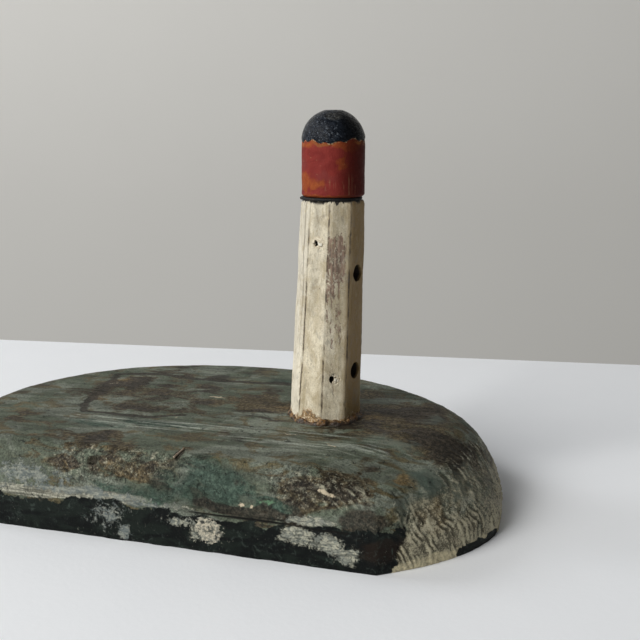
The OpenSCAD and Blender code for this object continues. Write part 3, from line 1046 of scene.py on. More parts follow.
def tower_mesh():
    """The eight-sided shaft with hand-cut faces, drilled for windows, pegs and dowel."""
    share = np.linspace(0, 1, TOWER_ROWS)
    corners = corner_points(share)
    across = np.arange(ALONG_FACE) / ALONG_FACE
    nxt = np.roll(corners, -1, axis=1)
    ring = corners[:, :, None, :] + (nxt - corners)[:, :, None, :] * across[None, None, :, None]
    ring = ring.reshape(TOWER_ROWS, -1, 2)
    columns = ring.shape[1]
    near_corner = np.minimum(across, 1 - across) * 10.5
    worn = 0.30 * smooth(1 - np.tile(near_corner, 8) / 1.1)
    centre = tower_axis(share)[:, None, :]
    out = ring - centre
    out /= np.linalg.norm(out, axis=-1)[..., None]
    height = np.broadcast_to((TOP_Z + TOWER_H * share)[:, None, None], (TOWER_ROWS, columns, 1))
    p = np.concatenate([ring, height], axis=-1).reshape(-1, 3)
    knife = 0.13 * fractal(p, (9, 9, 22), 2, 111) + 0.05 * noise(p, (1.1, 1.1, 12), 112)
    knife += 0.05 * noise(p, 1.6, 113)
    nicks = 0.45 * smooth((noise(p, (2.6, 2.6, 2.4), 114) - 0.35) / 0.4) * np.tile(worn, TOWER_ROWS) / 0.3
    scar = smooth(2 * spot(p, (49.0, -10.8, 121), (2.4, 2, 1.6)))
    lift = knife - nicks * 0.8 - np.tile(worn, TOWER_ROWS) - 0.4 * scar
    edge_rows = np.zeros(TOWER_ROWS)
    edge_rows[-3:] = [0.1, 0.25, 0.5]
    chips = np.repeat(edge_rows, columns) * (1.1 + 0.9 * noise(p, 2.2, 115))
    p[:, :2] += out.reshape(-1, 2) * (lift - chips)[:, None]
    points = np.concatenate([p, [[*FOOT_AXIS, TOP_Z]], [[*HEAD_AXIS, TOWER_TOP]]])
    faces = ring_quads(TOWER_ROWS, columns).tolist() + end_caps(TOWER_ROWS, columns)
    piece = make_mesh("tower", points, faces)
    cut(piece, tower_cutters())
    return piece


def face_distance(height):
    """Distance from the tower's axis to the middle of a face."""
    return FACE_RATIO * (TOWER_FOOT_R + (TOWER_TOP_R - TOWER_FOOT_R) * height / TOWER_H)


def hole_start(angle, height, deep):
    """The bottom of a hole drilled square into the tower, and its direction."""
    direction = np.array([math.cos(angle), math.sin(angle), 0])
    axis = np.append(tower_axis(height / TOWER_H), TOP_Z + height)
    return axis + direction * (face_distance(height) - deep), direction


def tower_cutters():
    """Bars that cut the windows, the peg holes and the dowel's socket."""
    cutters = []
    for height in WINDOW_HEIGHTS:
        start, direction = hole_start(WINDOW_ANGLE, height, WINDOW_DEEP)
        start = start + WINDOW_SHIFT * np.array([-direction[1], direction[0], 0])
        cutters.append(rod("cut_window", start, direction, WINDOW_DEEP + 4, WINDOW_R, 56, 12))
    for angle, height in PEGS.values():
        start, direction = hole_start(angle, height, PEG_HOLE_DEEP)
        cutters.append(rod("cut_peg", start, direction, PEG_HOLE_DEEP + 4, PEG_R, 40, 12))
    for cutter in cutters:
        p = points_of(cutter)
        roughness = np.stack([noise(p, 1.7, 121), noise(p, 1.7, 122), noise(p, 1.7, 123)], axis=1)
        set_points(cutter, p + 0.16 * roughness)
    socket_r = (PIN_HIGH[0] - PIN_LOW[0]) / 2 + 0.05
    socket = rod("cut_socket", (*HEAD_AXIS, PIN_LOW[2] - 0.3), (1e-6, 0, 1), PIN_HIGH[2] - PIN_LOW[2],
                 socket_r, 64)
    return cutters + [socket]


class TowerSkin:
    """The tower's points, for the fields below.

    height is above the island's top, turn is the direction from the shaft's axis, and radius is
    the shaft's plain radius at that height.
    """

    def __init__(self, piece):
        self.piece = piece
        self.p = points_of(piece)
        self.height = self.p[:, 2] - TOP_Z
        self.share = np.clip(self.height / TOWER_H, 0, 1)
        self.local = self.p[:, :2] - tower_axis(self.share)
        self.turn = np.arctan2(self.local[:, 1], self.local[:, 0])
        self.radius = TOWER_FOOT_R + (TOWER_TOP_R - TOWER_FOOT_R) * self.share

    def store(self, name, values):
        set_field(self.piece, name, values)

    def from_direction(self, angle):
        """Signed angle of each point from a direction."""
        return (self.turn - angle + math.pi) % (2 * math.pi) - math.pi


def store_tower_places(skin):
    """Stores the distance from the nearest arris, what is inside a hole, and the height."""
    arris = np.abs([skin.from_direction(corner) for corner in CORNERS]).min(axis=0) * skin.radius
    surface = np.linalg.norm(skin.local, axis=1) / skin.radius
    inside = smooth((0.90 - surface) / 0.05) * (skin.height < TOWER_H - 0.2) * (skin.height > 0.2)
    skin.store("arris", arris)
    skin.store("inside", inside)
    skin.store("rise", skin.share)


def store_tower_wear(skin):
    """Stores the patch on the front right face worn to the wood, its tail, and a scribed line."""
    p, height, turn = skin.p, skin.height, skin.turn
    grain = noise(p, (0.9, 0.9, 16), 131) + 0.5 * noise(p, (0.5, 0.5, 7), 132)
    left, right = CORNERS[6] - 2 * math.pi, CORNERS[7] - 2 * math.pi
    on_face = smooth((turn - left + 0.03) / 0.05) * smooth((right - 0.06 - turn) / 0.16)
    crown = smooth((WORN_TOP - height + 2 * grain) / 2.5)
    patch = smooth((height - WORN_FOOT - 4 * noise(p, (3, 3, 30), 133)) / 5) * crown
    left_part = smooth((left + 0.34 - turn + 0.1 * grain) / 0.12)
    tail = smooth((height - WORN_TAIL - 4 * noise(p, (2, 2, 30), 141)) / 5) * crown * left_part
    trail = smooth((height - 26) / 16) * smooth((62 - height) / 12)
    worn = on_face * np.maximum.reduce([patch, 0.9 * tail, 0.27 * trail])
    worn += 0.16 * on_face * smooth((30 - height) / 8) * smooth((height - 5) / 8)
    skin.store("worn", worn + 0.22 * grain * on_face)
    scribe = (turn - CORNERS[5] + 2 * math.pi) * skin.radius + 1.9 + 0.35 * noise(p, (3, 3, 18), 139)
    skin.store("scribe", smooth((0.42 - np.abs(scribe)) / 0.3) * smooth((height - 26) / 20))


def store_tower_stains(skin):
    """Stores the lighter left face, the right one darkened with grime and painted shade, the glue, the soot
    and the drips.
    """
    p, height, turn = skin.p, skin.height, skin.turn
    left, right = CORNERS[4] - 2 * math.pi, CORNERS[5] - 2 * math.pi
    # The face on the left, towards the lights, is stored for a lighter cream
    skin.store("lighter_left_face", smooth((turn - left) / 0.06) * smooth((right - turn) / 0.06))
    # The right face, turned away from the lights, is darkened with yellowed grime and painted shade
    skin.store("grime_and_shade", smooth((np.cos(turn - WINDOW_ANGLE) - 0.80) / 0.16))
    glue = 3.6 + 1.7 * noise(p, (3, 3, 50), 134) + 1.6 * noise(p, (1.1, 1.1, 50), 135)
    glue += 4.0 * smooth(1 - np.abs(skin.from_direction(CORNERS[5] + 0.42)) / 0.42)
    skin.store("glue", np.clip((glue - height) / 2, -1, 1.5))
    soot = 0.85 + 0.9 * noise(p, (1.4, 1.4, 50), 136) + 1.2 * noise(p, (0.5, 0.5, 50), 140)
    skin.store("soot", np.clip((soot - (TOWER_H - height)) / 1.2, -2, 2))
    skin.store("drips", noise(p, (2.2, 2.2, 34), 137) + 0.6 * noise(p, (1.0, 1.0, 12), 138))


# Colours of the tower's paint and dirt
CREAM = (0.680, 0.620, 0.480)
YELLOWED_CREAM = (0.470, 0.405, 0.280)
FINE_DIRT = (0.350, 0.300, 0.210)
GRITTY_DIRT = (0.300, 0.255, 0.180)
CLEAN_FLECK = (0.78, 0.74, 0.62)
DRIP_STAIN = (0.330, 0.270, 0.165)
GRAIN_STAIN = (0.260, 0.215, 0.145)
# Lighter cream for the left face
LEFT_FACE_CREAM = (0.800, 0.765, 0.670)
CLINGING_PAINT = (0.500, 0.420, 0.320)
SCRIBED_LINE = (0.10, 0.08, 0.06)
# Yellowed grime and painted shade for the right face, away from the lights
AMBER_GRIME_AND_SHADE = (0.235, 0.138, 0.034)
ARRIS_DIRT = (0.060, 0.042, 0.026)
TAN_BLOTCH = (0.360, 0.285, 0.160)
GREY_SMOKE = (0.240, 0.225, 0.190)
DIRT_SPECK = (0.060, 0.045, 0.030)
HAIR_CRACK = (0.15, 0.12, 0.085)
AMBER_CRUMB = (0.660, 0.550, 0.400)
TOWER_SOOT = (0.020, 0.018, 0.016)


def tower_paint(m):
    """Yellowed cream with fine dirt, clean flecks, drips and stained grain, lighter on the left face."""
    colour = m.mix(m.step(m.cloud, 0.36, 0.62), CREAM, YELLOWED_CREAM)
    colour = m.over(colour, m.step(m.fine, 0.50, 0.66), 0.50, FINE_DIRT)
    colour = m.over(colour, m.step(m.grit, 0.53, 0.64), 0.42, GRITTY_DIRT)
    colour = m.over(colour, m.step(m.noise(0.8, 3, 0.7, 0.3, 13), 0.60, 0.70), 0.6, CLEAN_FLECK)
    stain = m.step(m.plus(m.field("drips"), m.minus(m.fine, 0.5)), 0.25, 1.1)
    colour = m.over(colour, stain, 0.42, DRIP_STAIN)
    colour = m.over(colour, m.step(m.grain, 0.60, 0.72), 0.35, GRAIN_STAIN)
    return m.over(colour, m.field("lighter_left_face"), 0.42, LEFT_FACE_CREAM)


def tower_wear(m, colour, worn):
    """Bare wood in the worn patch, the scribed line, grime and painted shade on the right face, dirt along
    the arrises, and a lighter foot with painted bounce light.
    """
    wood = m.mix(m.step(m.grain, 0.42, 0.58), (0.305, 0.198, 0.146), (0.108, 0.064, 0.044))
    wood = m.over(wood, m.step(m.fine, 0.54, 0.62), 0.6, CLINGING_PAINT)
    colour = m.over(colour, worn, 0.90, wood)
    colour = m.over(colour, m.field("scribe"), 0.7, SCRIBED_LINE)
    # Yellowed grime and painted shade on the right face, away from the lights
    colour = m.over(colour, m.field("grime_and_shade"), 0.88, AMBER_GRIME_AND_SHADE)
    off = m.plus(m.field("arris"), m.swing(m.fine, 0.9))
    line = m.step(m.math("ABSOLUTE", m.minus(off, 0.20)), 0.32, 0.06)
    colour = m.over(colour, line, m.step(m.cloud, 0.42, 0.58, 0.25, 0.95), ARRIS_DIRT)
    # Lighter towards the foot and darker towards the top: partly painted bounce light from the table near
    # the foot, partly dirtier paint up high
    return m.scaled(colour, m.step(m.field("rise"), 0.1, 0.75, 1.16, 0.93))


def tower_marks(m, colour, hair):
    """Tan blotches, smoky patches, specks of dirt and hair cracks."""
    blotch = m.step(m.noise((4, 4, 9), 5, 0.7, 0.8, 17), 0.52, 0.62)
    colour = m.over(colour, blotch, 0.42, TAN_BLOTCH)
    smoke = m.step(m.noise((3, 3, 5), 5, 0.72, 0.6, 19), 0.54, 0.64)
    colour = m.over(colour, smoke, 0.34, GREY_SMOKE)
    speck = m.step(m.noise(0.9, 2, 0.5, 0, 11), 0.72, 0.76)
    colour = m.over(colour, speck, 0.7, DIRT_SPECK)
    return m.over(colour, hair, m.step(m.cloud, 0.5, 0.7, 0.0, 0.35), HAIR_CRACK)


def tower_ends(m, colour):
    """Glue at the foot, soot under the disc, and near-black in the drilled holes, part dark paint and part
    painted shade.
    """
    crumb = m.noise(1.1, 4, 0.7, 0.4, 21)
    amber = m.mix(m.step(crumb, 0.42, 0.54), (0.080, 0.036, 0.008), (0.320, 0.172, 0.046))
    amber = m.mix(m.step(crumb, 0.54, 0.61), amber, AMBER_CRUMB)
    colour = m.over(colour, m.ragged("glue", crumb, 3.0, 0.15, 0.75), 0.85, amber)
    colour = m.mix(m.ragged("soot", m.grit, 1.2, 0.1, 0.6), colour, TOWER_SOOT)
    # Near-black inside the holes: part dark paint, part painted shade
    bore = m.mix(m.fine, (0.010, 0.007, 0.005), (0.030, 0.021, 0.013))
    return m.mix(m.field("inside"), colour, bore)


def tower_material():
    """Yellowed cream paint over bare pinkish-brown wood, with dirt in the knife cuts."""
    m = Paint("aged_cream_paint")
    m.cloud = m.noise((7, 7, 13), 4, 0.6, 0.5)
    m.fine = m.noise((1.0, 1.0, 3.2), 4, 0.65, 0.4, 3)
    m.grit = m.noise(0.45, 2, 0.6, 0, 5)
    m.grain = m.noise((0.5, 0.5, 14), 4, 0.65, 0.2, 7)
    flakes = m.minus(m.noise((1.5, 1.5, 3.0), 5, 0.75, 0.5, 15), 0.5)
    sparse = m.times(flakes, m.step(m.field("worn"), 0.05, 0.5, 0.0, 7.5))
    worn = m.step(m.plus(m.field("worn"), sparse), 0.36, 0.74)
    crackle = m.add("ShaderNodeTexVoronoi", {"feature": "DISTANCE_TO_EDGE"}, m.place)
    crackle.inputs["Scale"].default_value = 1 / (CRACKLE_SIZE * MM)
    hair = m.step(crackle.outputs["Distance"], 0.035, 0.0)

    colour = tower_wear(m, tower_paint(m), worn)
    colour = tower_ends(m, tower_marks(m, colour, hair))
    rough = m.step(m.plus(m.fine, m.times(worn, 0.3)), 0.2, 1.0, 0.48, 0.82)
    normal = m.bumps((m.grain, 0.08), (m.fine, 0.10), (m.grit, 0.11), (worn, -0.10), (hair, -0.04))
    return m.finish(colour, rough, normal, Specular_IOR_Level=0.4)


def add_tower():
    """The shaft, with its stored wear and stains."""
    piece = tower_mesh()
    skin = TowerSkin(piece)
    store_tower_places(skin)
    store_tower_wear(skin)
    store_tower_stains(skin)
    dress(piece, tower_material(), "stand", "tower_paint", "tower_shaft")


# ---------------------------------------------------------------- glue, pegs, filler and brad

def tower_foot_reach(turn):
    """How far the tower's foot reaches from its axis, in directions half a turn from these."""
    corners = corner_points(np.array([0.0]))[0] - FOOT_AXIS
    angle = np.arctan2(corners[:, 1], corners[:, 0])
    order = np.argsort(angle)
    reach = np.linalg.norm(corners[order], axis=1)
    foot = np.interp(turn - math.pi, angle[order], reach, period=2 * math.pi)
    gap = (turn[:, None] - math.pi - angle[None, :] + math.pi) % (2 * math.pi) - math.pi
    dip = np.abs(gap).min(axis=1)
    return foot * (1 - 0.075 * np.sin(np.clip(dip / 0.39, 0, 1) * math.pi / 2))


def glue_mesh():
    """The lumpy collar, with how far each point is from the tower stored on it."""
    around, steps = 260, 16
    turn = np.arange(around) * 2 * math.pi / around
    foot = tower_foot_reach(turn)
    circle = np.stack([np.cos(turn - math.pi), np.sin(turn - math.pi), 0 * turn], axis=1)
    spread = 1.45 + 0.60 * fractal(circle * 14, 4, 2, 201)
    rise = 2.05 + 1.0 * fractal(circle * 14, 3, 2, 202)
    rows = []
    for k in range(steps):
        a = math.pi * k / (steps - 1) / 2
        radius = foot - 0.9 + (spread + 0.9) * math.sin(a)
        height = TOP_Z - 0.3 + (rise + 0.3) * math.cos(a) ** 1.4
        rows.append(circle * radius[:, None] + np.stack([0 * turn, 0 * turn, height], axis=1))
    rows.append(circle * (foot - 1.2)[:, None] + [0, 0, TOP_Z - 0.3])
    p = np.concatenate(rows)
    p[:, :2] += FOOT_AXIS
    quads = ring_quads(len(rows), around)
    faces = np.concatenate([quads, closing_wall(quads, len(rows), around)])[:, ::-1].tolist()
    piece = make_mesh("foot_glue_collar", p, faces)
    lumps = 0.28 * fractal(p, 1.5, 2, 203) * (p[:, 2] > TOP_Z - 0.2)
    set_points(piece, p + normals_of(piece) * lumps[:, None])

    reach = np.linalg.norm(p[:, :2] - FOOT_AXIS, axis=1) - np.resize(foot, len(p))
    set_field(piece, "reach", reach)
    return piece


def glue_material():
    """Dark amber with pale crumbs and holes, darker towards its outer edge."""
    m = Paint("old_amber_glue")
    fine = m.noise(0.8, 3, 0.6, 0.4)
    cloud = m.noise(3.2, 3, 0.6, 0.4, 3)
    amber = m.mix(m.step(cloud, 0.44, 0.60), (0.036, 0.017, 0.005), (0.185, 0.090, 0.024))
    colour = m.over(amber, m.step(fine, 0.55, 0.62), 0.55, (0.400, 0.280, 0.145))
    colour = m.mix(m.step(m.plus(m.field("reach"), fine), 1.1, 2.0), colour, (0.026, 0.015, 0.008))
    colour = m.mix(m.step(m.noise(1.1, 2, 0.5, 0, 9), 0.56, 0.66), colour, (0.020, 0.013, 0.008))
    normal = m.bumps((fine, 0.3), (m.noise(0.4, 2, 0.6, 0, 5), 0.1))
    return m.finish(colour, m.step(fine, 0.3, 0.7, 0.30, 0.7), normal, Specular_IOR_Level=0.5)


def add_glue():
    """A crumbly amber collar of old glue round the tower's foot."""
    dress(glue_mesh(), glue_material(), "stand", "old_glue", "foot_glue")


def peg_material():
    """Broken end grain of the pegs, pale where freshly split, with painted shade darkening the deep slot.
    """
    m = Paint("split_peg_wood")
    fine = m.noise(0.6, 3, 0.6, 0.3)
    colour = m.mix(m.step(fine, 0.40, 0.60), (0.66, 0.60, 0.47), (0.46, 0.39, 0.28))
    colour = m.mix(m.step(m.field("depth"), -0.10, -0.40), colour, (0.74, 0.70, 0.59))
    # Painted shade: the deeper the broken end, the darker
    colour = m.mix(m.step(m.field("depth"), 0.30, 0.9), colour, (0.012, 0.008, 0.005))
    normal = m.bumps((fine, 0.2), (m.noise(0.3, 2, 0.6, 0, 4), 0.08))
    return m.finish(colour, 0.75, normal, Specular_IOR_Level=0.3)


def peg_shape(start, direction, side, length):
    """Points and faces of a plain round peg, with fine rings on its outer end."""
    rings, around = 16, 48
    turns = np.arange(around) * 2 * math.pi / around
    radii = np.linspace(PEG_R + 0.25, 0.16, rings)
    body = [(PEG_R - 0.08, 0.0), (PEG_R - 0.08, length - 1)] + [(r, length) for r in radii]
    points = []
    for radius, along in body:
        circle = np.outer(np.cos(turns), side) + np.outer(np.sin(turns), [0, 0, 1.0])
        points.append(start + direction * along + circle * radius)
    count = len(points)
    points = np.concatenate(points + [[start], [start + direction * length]])
    return points, ring_quads(count, around).tolist() + end_caps(count, around)


def peg_break(points, lateral, upward, broken):
    """How deep the broken end is at each point: a slot, a crack and a chip that stands up."""
    seed, left, tall, chip_high = broken
    grain = noise(points, (0.55, 0.55, 0.9), seed)
    notch = np.hypot((lateral - left) / 0.85, (upward + 0.3) / tall) + 0.35 * noise(points, 0.9, seed + 1)
    slot = smooth((1.1 - notch) / 0.35)
    crack = smooth((0.34 - np.abs(upward - 0.3 * lateral + 0.4 * noise(points, 1.2, seed + 2))) / 0.2)
    crack *= smooth((1.2 - lateral) / 0.8)
    rim = smooth((np.hypot(lateral, upward) - PEG_R + 0.5) / 0.5)
    slanted = upward + 0.2 + 0.30 * lateral
    off_chip = np.maximum(np.abs(lateral - left - 1.9) / 1.2, np.abs(slanted) / 0.85)
    off_chip += 0.22 * noise(points, 0.8, seed + 3)
    chip = smooth((1 - off_chip) / 0.3)
    outline = smooth(1 - np.abs(off_chip - 1.12) / 0.16)
    drop = -0.05 + 0.20 * grain + 3.0 * slot + 1.0 * crack * (1 - chip) + 0.22 * rim
    drop -= chip_high * chip * (1 - slot)
    return drop + 0.7 * outline * smooth((0.4 - upward) / 0.6)


# Noise seed, place and height of the slot, and height of the chip on each broken peg
PEG_BREAKS = {
    "upper_peg": (211, -0.75, 1.25, 0.55),
    "lower_peg": (221, -1.2, 1.6, 0.25),
}


def add_peg(node, material):
    """A cross peg snapped off in its hole, with a splintered end."""
    angle, height = PEGS[node]
    start, direction = hole_start(angle, height, PEG_HOLE_DEEP)
    side = np.array([-direction[1], direction[0], 0])
    length = PEG_HOLE_DEEP - 0.2
    points, faces = peg_shape(start, direction, side, length)
    local = points - start
    along, lateral, upward = local @ direction, local @ side, local[:, 2]
    drop = peg_break(points, lateral, upward, PEG_BREAKS[node])
    ends = along > length - 0.01
    points = points - np.outer(ends * drop, direction)
    piece = make_mesh(node + "_wood", points, faces)
    set_field(piece, "depth", np.where(ends, drop, 3.0))
    dress(piece, material, "stand", "peg_wood", node)


# Each lump of filler: its place along the front and up, its width and its height
FILLER_LUMPS = [(19.4, 11.4, 8.0, 5.2), (20.8, 6.0, 6.8, 4.8), (24.6, 9.2, 4.6, 4.8), (17.8, 8.8, 4.8, 4.6)]
FILLER_ROWS = 13
FILLER_AROUND = 56


def filler_lump(number, x, z, wide, high):
    """Points of one lump: a ragged outline that closes towards its crown."""
    turns = np.arange(FILLER_AROUND) * 2 * math.pi / FILLER_AROUND
    circle = np.stack([np.cos(turns) * 2, np.sin(turns) * 2, 0 * turns + number], axis=1)
    ragged = 1 + 0.30 * fractal(circle, 1.1, 2, 231)
    block = []
    for share in np.arange(FILLER_ROWS) / (FILLER_ROWS - 1):
        reach = ragged * (1 - 0.85 * max(0, share - 0.25) / 0.75)
        out = -0.9 if share == 0 else 0.28 * math.sin(share * math.pi / 2)
        across = x + wide / 2 * reach * np.cos(turns)
        upward = z + high / 2 * reach * np.sin(turns)
        block.append(np.stack([across, 0 * turns + FRONT_Y - out, upward], axis=1))
    return np.concatenate(block + [[[x, FRONT_Y + 0.9, z]], [[x, FRONT_Y - 0.25, z]]])


def filler_mesh():
    """All the lumps in one piece, roughened on the outside."""
    points, faces = [], []
    for number, lump in enumerate(FILLER_LUMPS):
        base = sum(len(block) for block in points)
        points.append(filler_lump(number, *lump))
        faces += (ring_quads(FILLER_ROWS, FILLER_AROUND) + base).tolist()
        faces += end_caps(FILLER_ROWS, FILLER_AROUND, base)
    p = np.concatenate(points)
    rough = (0.10 + 0.26 * fractal(p, 1.1, 3, 232) + 0.22 * noise(p, 3, 233)) * (p[:, 1] < FRONT_Y + 0.1)
    p[:, 1] -= np.clip(rough, -0.6, 0.5)
    return make_mesh("front_edge_filler", p, faces)


def filler_material():
    """Cream and grey crumbs with dark holes."""
    m = Paint("crumbling_filler")
    fine = m.noise(0.9, 3, 0.65, 0.5)
    cloud = m.noise(2.6, 3, 0.6, 0.6, 3)
    colour = m.mix(m.step(fine, 0.35, 0.62), (0.54, 0.49, 0.375), (0.210, 0.212, 0.178))
    colour = m.mix(m.step(cloud, 0.52, 0.61), colour, (0.060, 0.064, 0.055))
    normal = m.bumps((fine, 0.35), (m.noise(0.4, 2, 0.6, 0, 7), 0.15))
    return m.finish(colour, 0.85, normal, Specular_IOR_Level=0.25)


def add_filler():
    """Crumbling lumps of old filler in the front edge."""
    dress(filler_mesh(), filler_material(), "stand", "filler", "edge_filler")


def brad_material():
    """Brown, rusty steel."""
    m = Paint("rusty_brad_steel")
    fine = m.noise(0.5, 3, 0.6, 0.2)
    colour = m.mix(m.step(fine, 0.4, 0.62), (0.340, 0.290, 0.225), (0.150, 0.085, 0.045))
    return m.finish(colour, m.step(fine, 0.3, 0.7, 0.45, 0.85), m.bumps((fine, 0.08)), Metallic=0.2)


def add_brad():
    """A short headless nail, bruised and brown with rust."""
    direction = np.array([0.203, 0.953, 0.225])
    length = 6.6
    piece = rod("rusty_brad", BRAD_PLACE - direction * length / 2, direction, length, 0.42, 20, 24)
    p = points_of(piece)
    set_points(piece, p + normals_of(piece) * (0.07 * noise(p, 0.7, 241))[:, None])
    dress(piece, brad_material(), "stand", "brad_steel", "brad")


# ---------------------------------------------------------------- lantern, disc, dowel and screw

LANTERN_R = (LANTERN_HIGH[0] - LANTERN_LOW[0]) / 2
LANTERN_EDGE = 1.3
DOME_FLAT_R = 3.4
SOCKET_R = (PIN_HIGH[0] - PIN_LOW[0]) / 2 + 0.05
SOCKET_TOP = PIN_HIGH[2] + 0.3


def dome_line(turn):
    """Height of the ragged edge between the red side and the dark dome."""
    circle = np.stack([10 * np.cos(turn), 10 * np.sin(turn), 0 * turn], axis=1)
    return LANTERN_LOW[2] + 22.4 + 1.3 * noise(circle, 5, 301) + 0.9 * noise(circle, 1.9, 302)


def lantern_profile():
    """Radius and height of the socket, the underside, the side and the dome."""
    low, high = LANTERN_LOW[2], LANTERN_HIGH[2]
    dome_z = high - math.sqrt(LANTERN_R ** 2 - DOME_FLAT_R ** 2)
    dome_end = math.asin((high - dome_z) / LANTERN_R)
    profile = [(0, SOCKET_TOP), (0.2, SOCKET_TOP), (SOCKET_R * 0.7, SOCKET_TOP), (SOCKET_R, SOCKET_TOP)]
    profile += [(SOCKET_R, z) for z in np.linspace(SOCKET_TOP, low + 0.4, 10)[1:]]
    profile += [(SOCKET_R + 0.3, low)]
    profile += [(r, low) for r in np.linspace(SOCKET_R + 1, LANTERN_R - LANTERN_EDGE, 14)]
    for a in np.linspace(-math.pi / 2, 0, 9)[1:]:
        out, up = LANTERN_EDGE * (1 - math.cos(a)), LANTERN_EDGE * (1 + math.sin(a))
        profile.append((LANTERN_R - out, low + up))
    profile += [(LANTERN_R, z) for z in np.linspace(low + LANTERN_EDGE, dome_z, 56)[1:]]
    for a in np.linspace(0, dome_end, 44)[1:]:
        profile.append((LANTERN_R * math.cos(a), dome_z + LANTERN_R * math.sin(a)))
    profile += [(DOME_FLAT_R * s, high - 0.08 * (1 - s)) for s in (0.8, 0.55, 0.3, 0.06, 0)]
    return profile


def lantern_mesh():
    """The turned lantern, its dome paint standing a little proud of the red."""
    low, high = LANTERN_LOW[2], LANTERN_HIGH[2]
    piece = lathe("lantern_head", lantern_profile(), 220, HEAD_AXIS)
    p = points_of(piece)
    local = p[:, :2] - HEAD_AXIS
    radius = np.linalg.norm(local, axis=1)
    turn = np.arctan2(local[:, 1], local[:, 0])
    skin = smooth((radius - SOCKET_R - 1) / 1) + (p[:, 2] > SOCKET_TOP + 1)
    above = p[:, 2] - dome_line(turn)
    lift = 0.10 * fractal(p, (8, 8, 6), 2, 311) + 0.035 * noise(p, 1.4, 312) - 0.12
    lift += 0.15 * smooth(above / 0.35) - 0.08 * smooth((1.6 - np.abs(above + 0.5)) / 1.2)
    chips = smooth((noise(p, (1.7, 1.7, 1.2), 313) - 0.45) / 0.3)
    lift -= 0.30 * chips * smooth(1.3 - np.abs(above) / 1.1)
    lift -= 0.35 * chips * smooth((low + 1.8 - p[:, 2]) / 1.2)
    lift -= 0.16 * smooth(2.5 * spot(p, (HEAD_AXIS[0] + 2, HEAD_AXIS[1] - 8, high - 3.2), (3, 3, 2)))
    lift = lift * (skin > 0.5) * (p[:, 2] > low + 0.05)
    p = p + normals_of(piece) * lift[:, None]
    p[:, 2] = np.clip(p[:, 2], low, high)
    set_points(piece, p)
    lantern_fields(piece, above, turn, radius)
    return piece


def lantern_fields(piece, above, turn, radius):
    """Stores the dome's edge, ochre, plum and scuffed areas, the painted shade on the side away from the
    light, and the bare wood.
    """
    p = points_of(piece)
    low = LANTERN_LOW[2]
    height = p[:, 2] - low

    def side_spot(angle, level, wide, high):
        """An oval patch on the side, by direction in degrees and height."""
        across = ((turn - math.radians(angle) + math.pi) % (2 * math.pi) - math.pi) * LANTERN_R
        across = across + 1.5 * noise(p, (3.2, 3.2, 2.2), 324) + 0.5 * noise(p, 1.2, 325)
        up = height - level + 1.3 * noise(p, (3.2, 3.2, 2.2), 326) + 0.5 * noise(p, 1.2, 327)
        return 1 - np.sqrt((across / wide) ** 2 + (up / high) ** 2)

    ochre = np.maximum.reduce([
        side_spot(-57, 13.3, 3.2, 4.6) * 1.1,
        side_spot(-138, 6.2, 8.0, 5.0) * 1.5,
        side_spot(-108, 5.0, 4.6, 3.2) * 1.4,
        side_spot(-45, 21, 13, 3.2) * 1.4,
        side_spot(-135, 20.6, 9, 2.2) * 1.1,
        side_spot(60, 9, 8, 4),
        side_spot(150, 15, 6, 4),
    ])
    bottom = smooth((1.7 - height + 0.7 * noise(p, 2, 321)) / 1.2)
    ochre = np.maximum(ochre, 0.62 * bottom) + 0.22 * fractal(p, 3, 3, 322)
    set_field(piece, "ochre", np.clip(ochre, -1, 2))
    plum = np.maximum(side_spot(-155, 13.5, 8, 5), side_spot(-95, 8, 9, 4))
    set_field(piece, "plum", np.clip(plum + 0.3 * fractal(p, 4, 2, 323), -1, 2))
    scuffs = np.maximum(side_spot(-78, 4, 3.5, 4), side_spot(-40, 5, 4.5, 6))
    set_field(piece, "scuffed", np.clip(scuffs, -1, 1))
    set_field(piece, "above", np.clip(above, -4, 4))
    # Painted shade: the side turned away from the lights is darkened
    set_field(piece, "deep", smooth((np.cos(turn + 0.1) - 0.30) / 0.6))
    inside = (radius < SOCKET_R + 1.2) & (p[:, 2] < PIN_HIGH[2] + 1)
    set_field(piece, "bare", inside.astype(float))
    crown = smooth((DOME_FLAT_R + 1.0 - radius) / 1.6) * (height > 30)
    rubbed_place = (HEAD_AXIS[0] + 2, HEAD_AXIS[1] - 7, LANTERN_HIGH[2] - 2.8)
    rub = smooth(1.6 * spot(p, rubbed_place, (4.5, 4.5, 2.5)))
    set_field(piece, "rubbed", np.maximum(crown, 0.55 * rub))


# Colours of the lantern's paint
LANTERN_RED = (0.194, 0.0255, 0.020)
DEEP_RED = (0.154, 0.018, 0.015)
PLUM = (0.150, 0.030, 0.027)
OCHRE = (0.290, 0.074, 0.016)
BROWN_OCHRE = (0.215, 0.046, 0.012)
LANTERN_DARK_SCRATCH = (0.062, 0.016, 0.012)
LANTERN_PALE_SPECK = (0.38, 0.20, 0.10)
# Painted shade for the red side away from the light
SHADED_RED = (0.046, 0.004, 0.0015)
LANTERN_PALE_SCRATCH = (0.260, 0.150, 0.080)
DOME_DARK = (0.0036, 0.0050, 0.0082)
DOME_GREY = (0.0100, 0.0134, 0.0200)
# Painted glint for the dome's lit side
DOME_PAINTED_GLINT = (0.125, 0.145, 0.170)
# Painted shade for the dome's side away from the light
SHADED_DOME = (0.0022, 0.0020, 0.0016)
RUBBED_DOME = (0.120, 0.115, 0.098)
CHIPPED_WOOD = (0.46, 0.36, 0.22)
UNDERCOAT = (0.250, 0.095, 0.022)


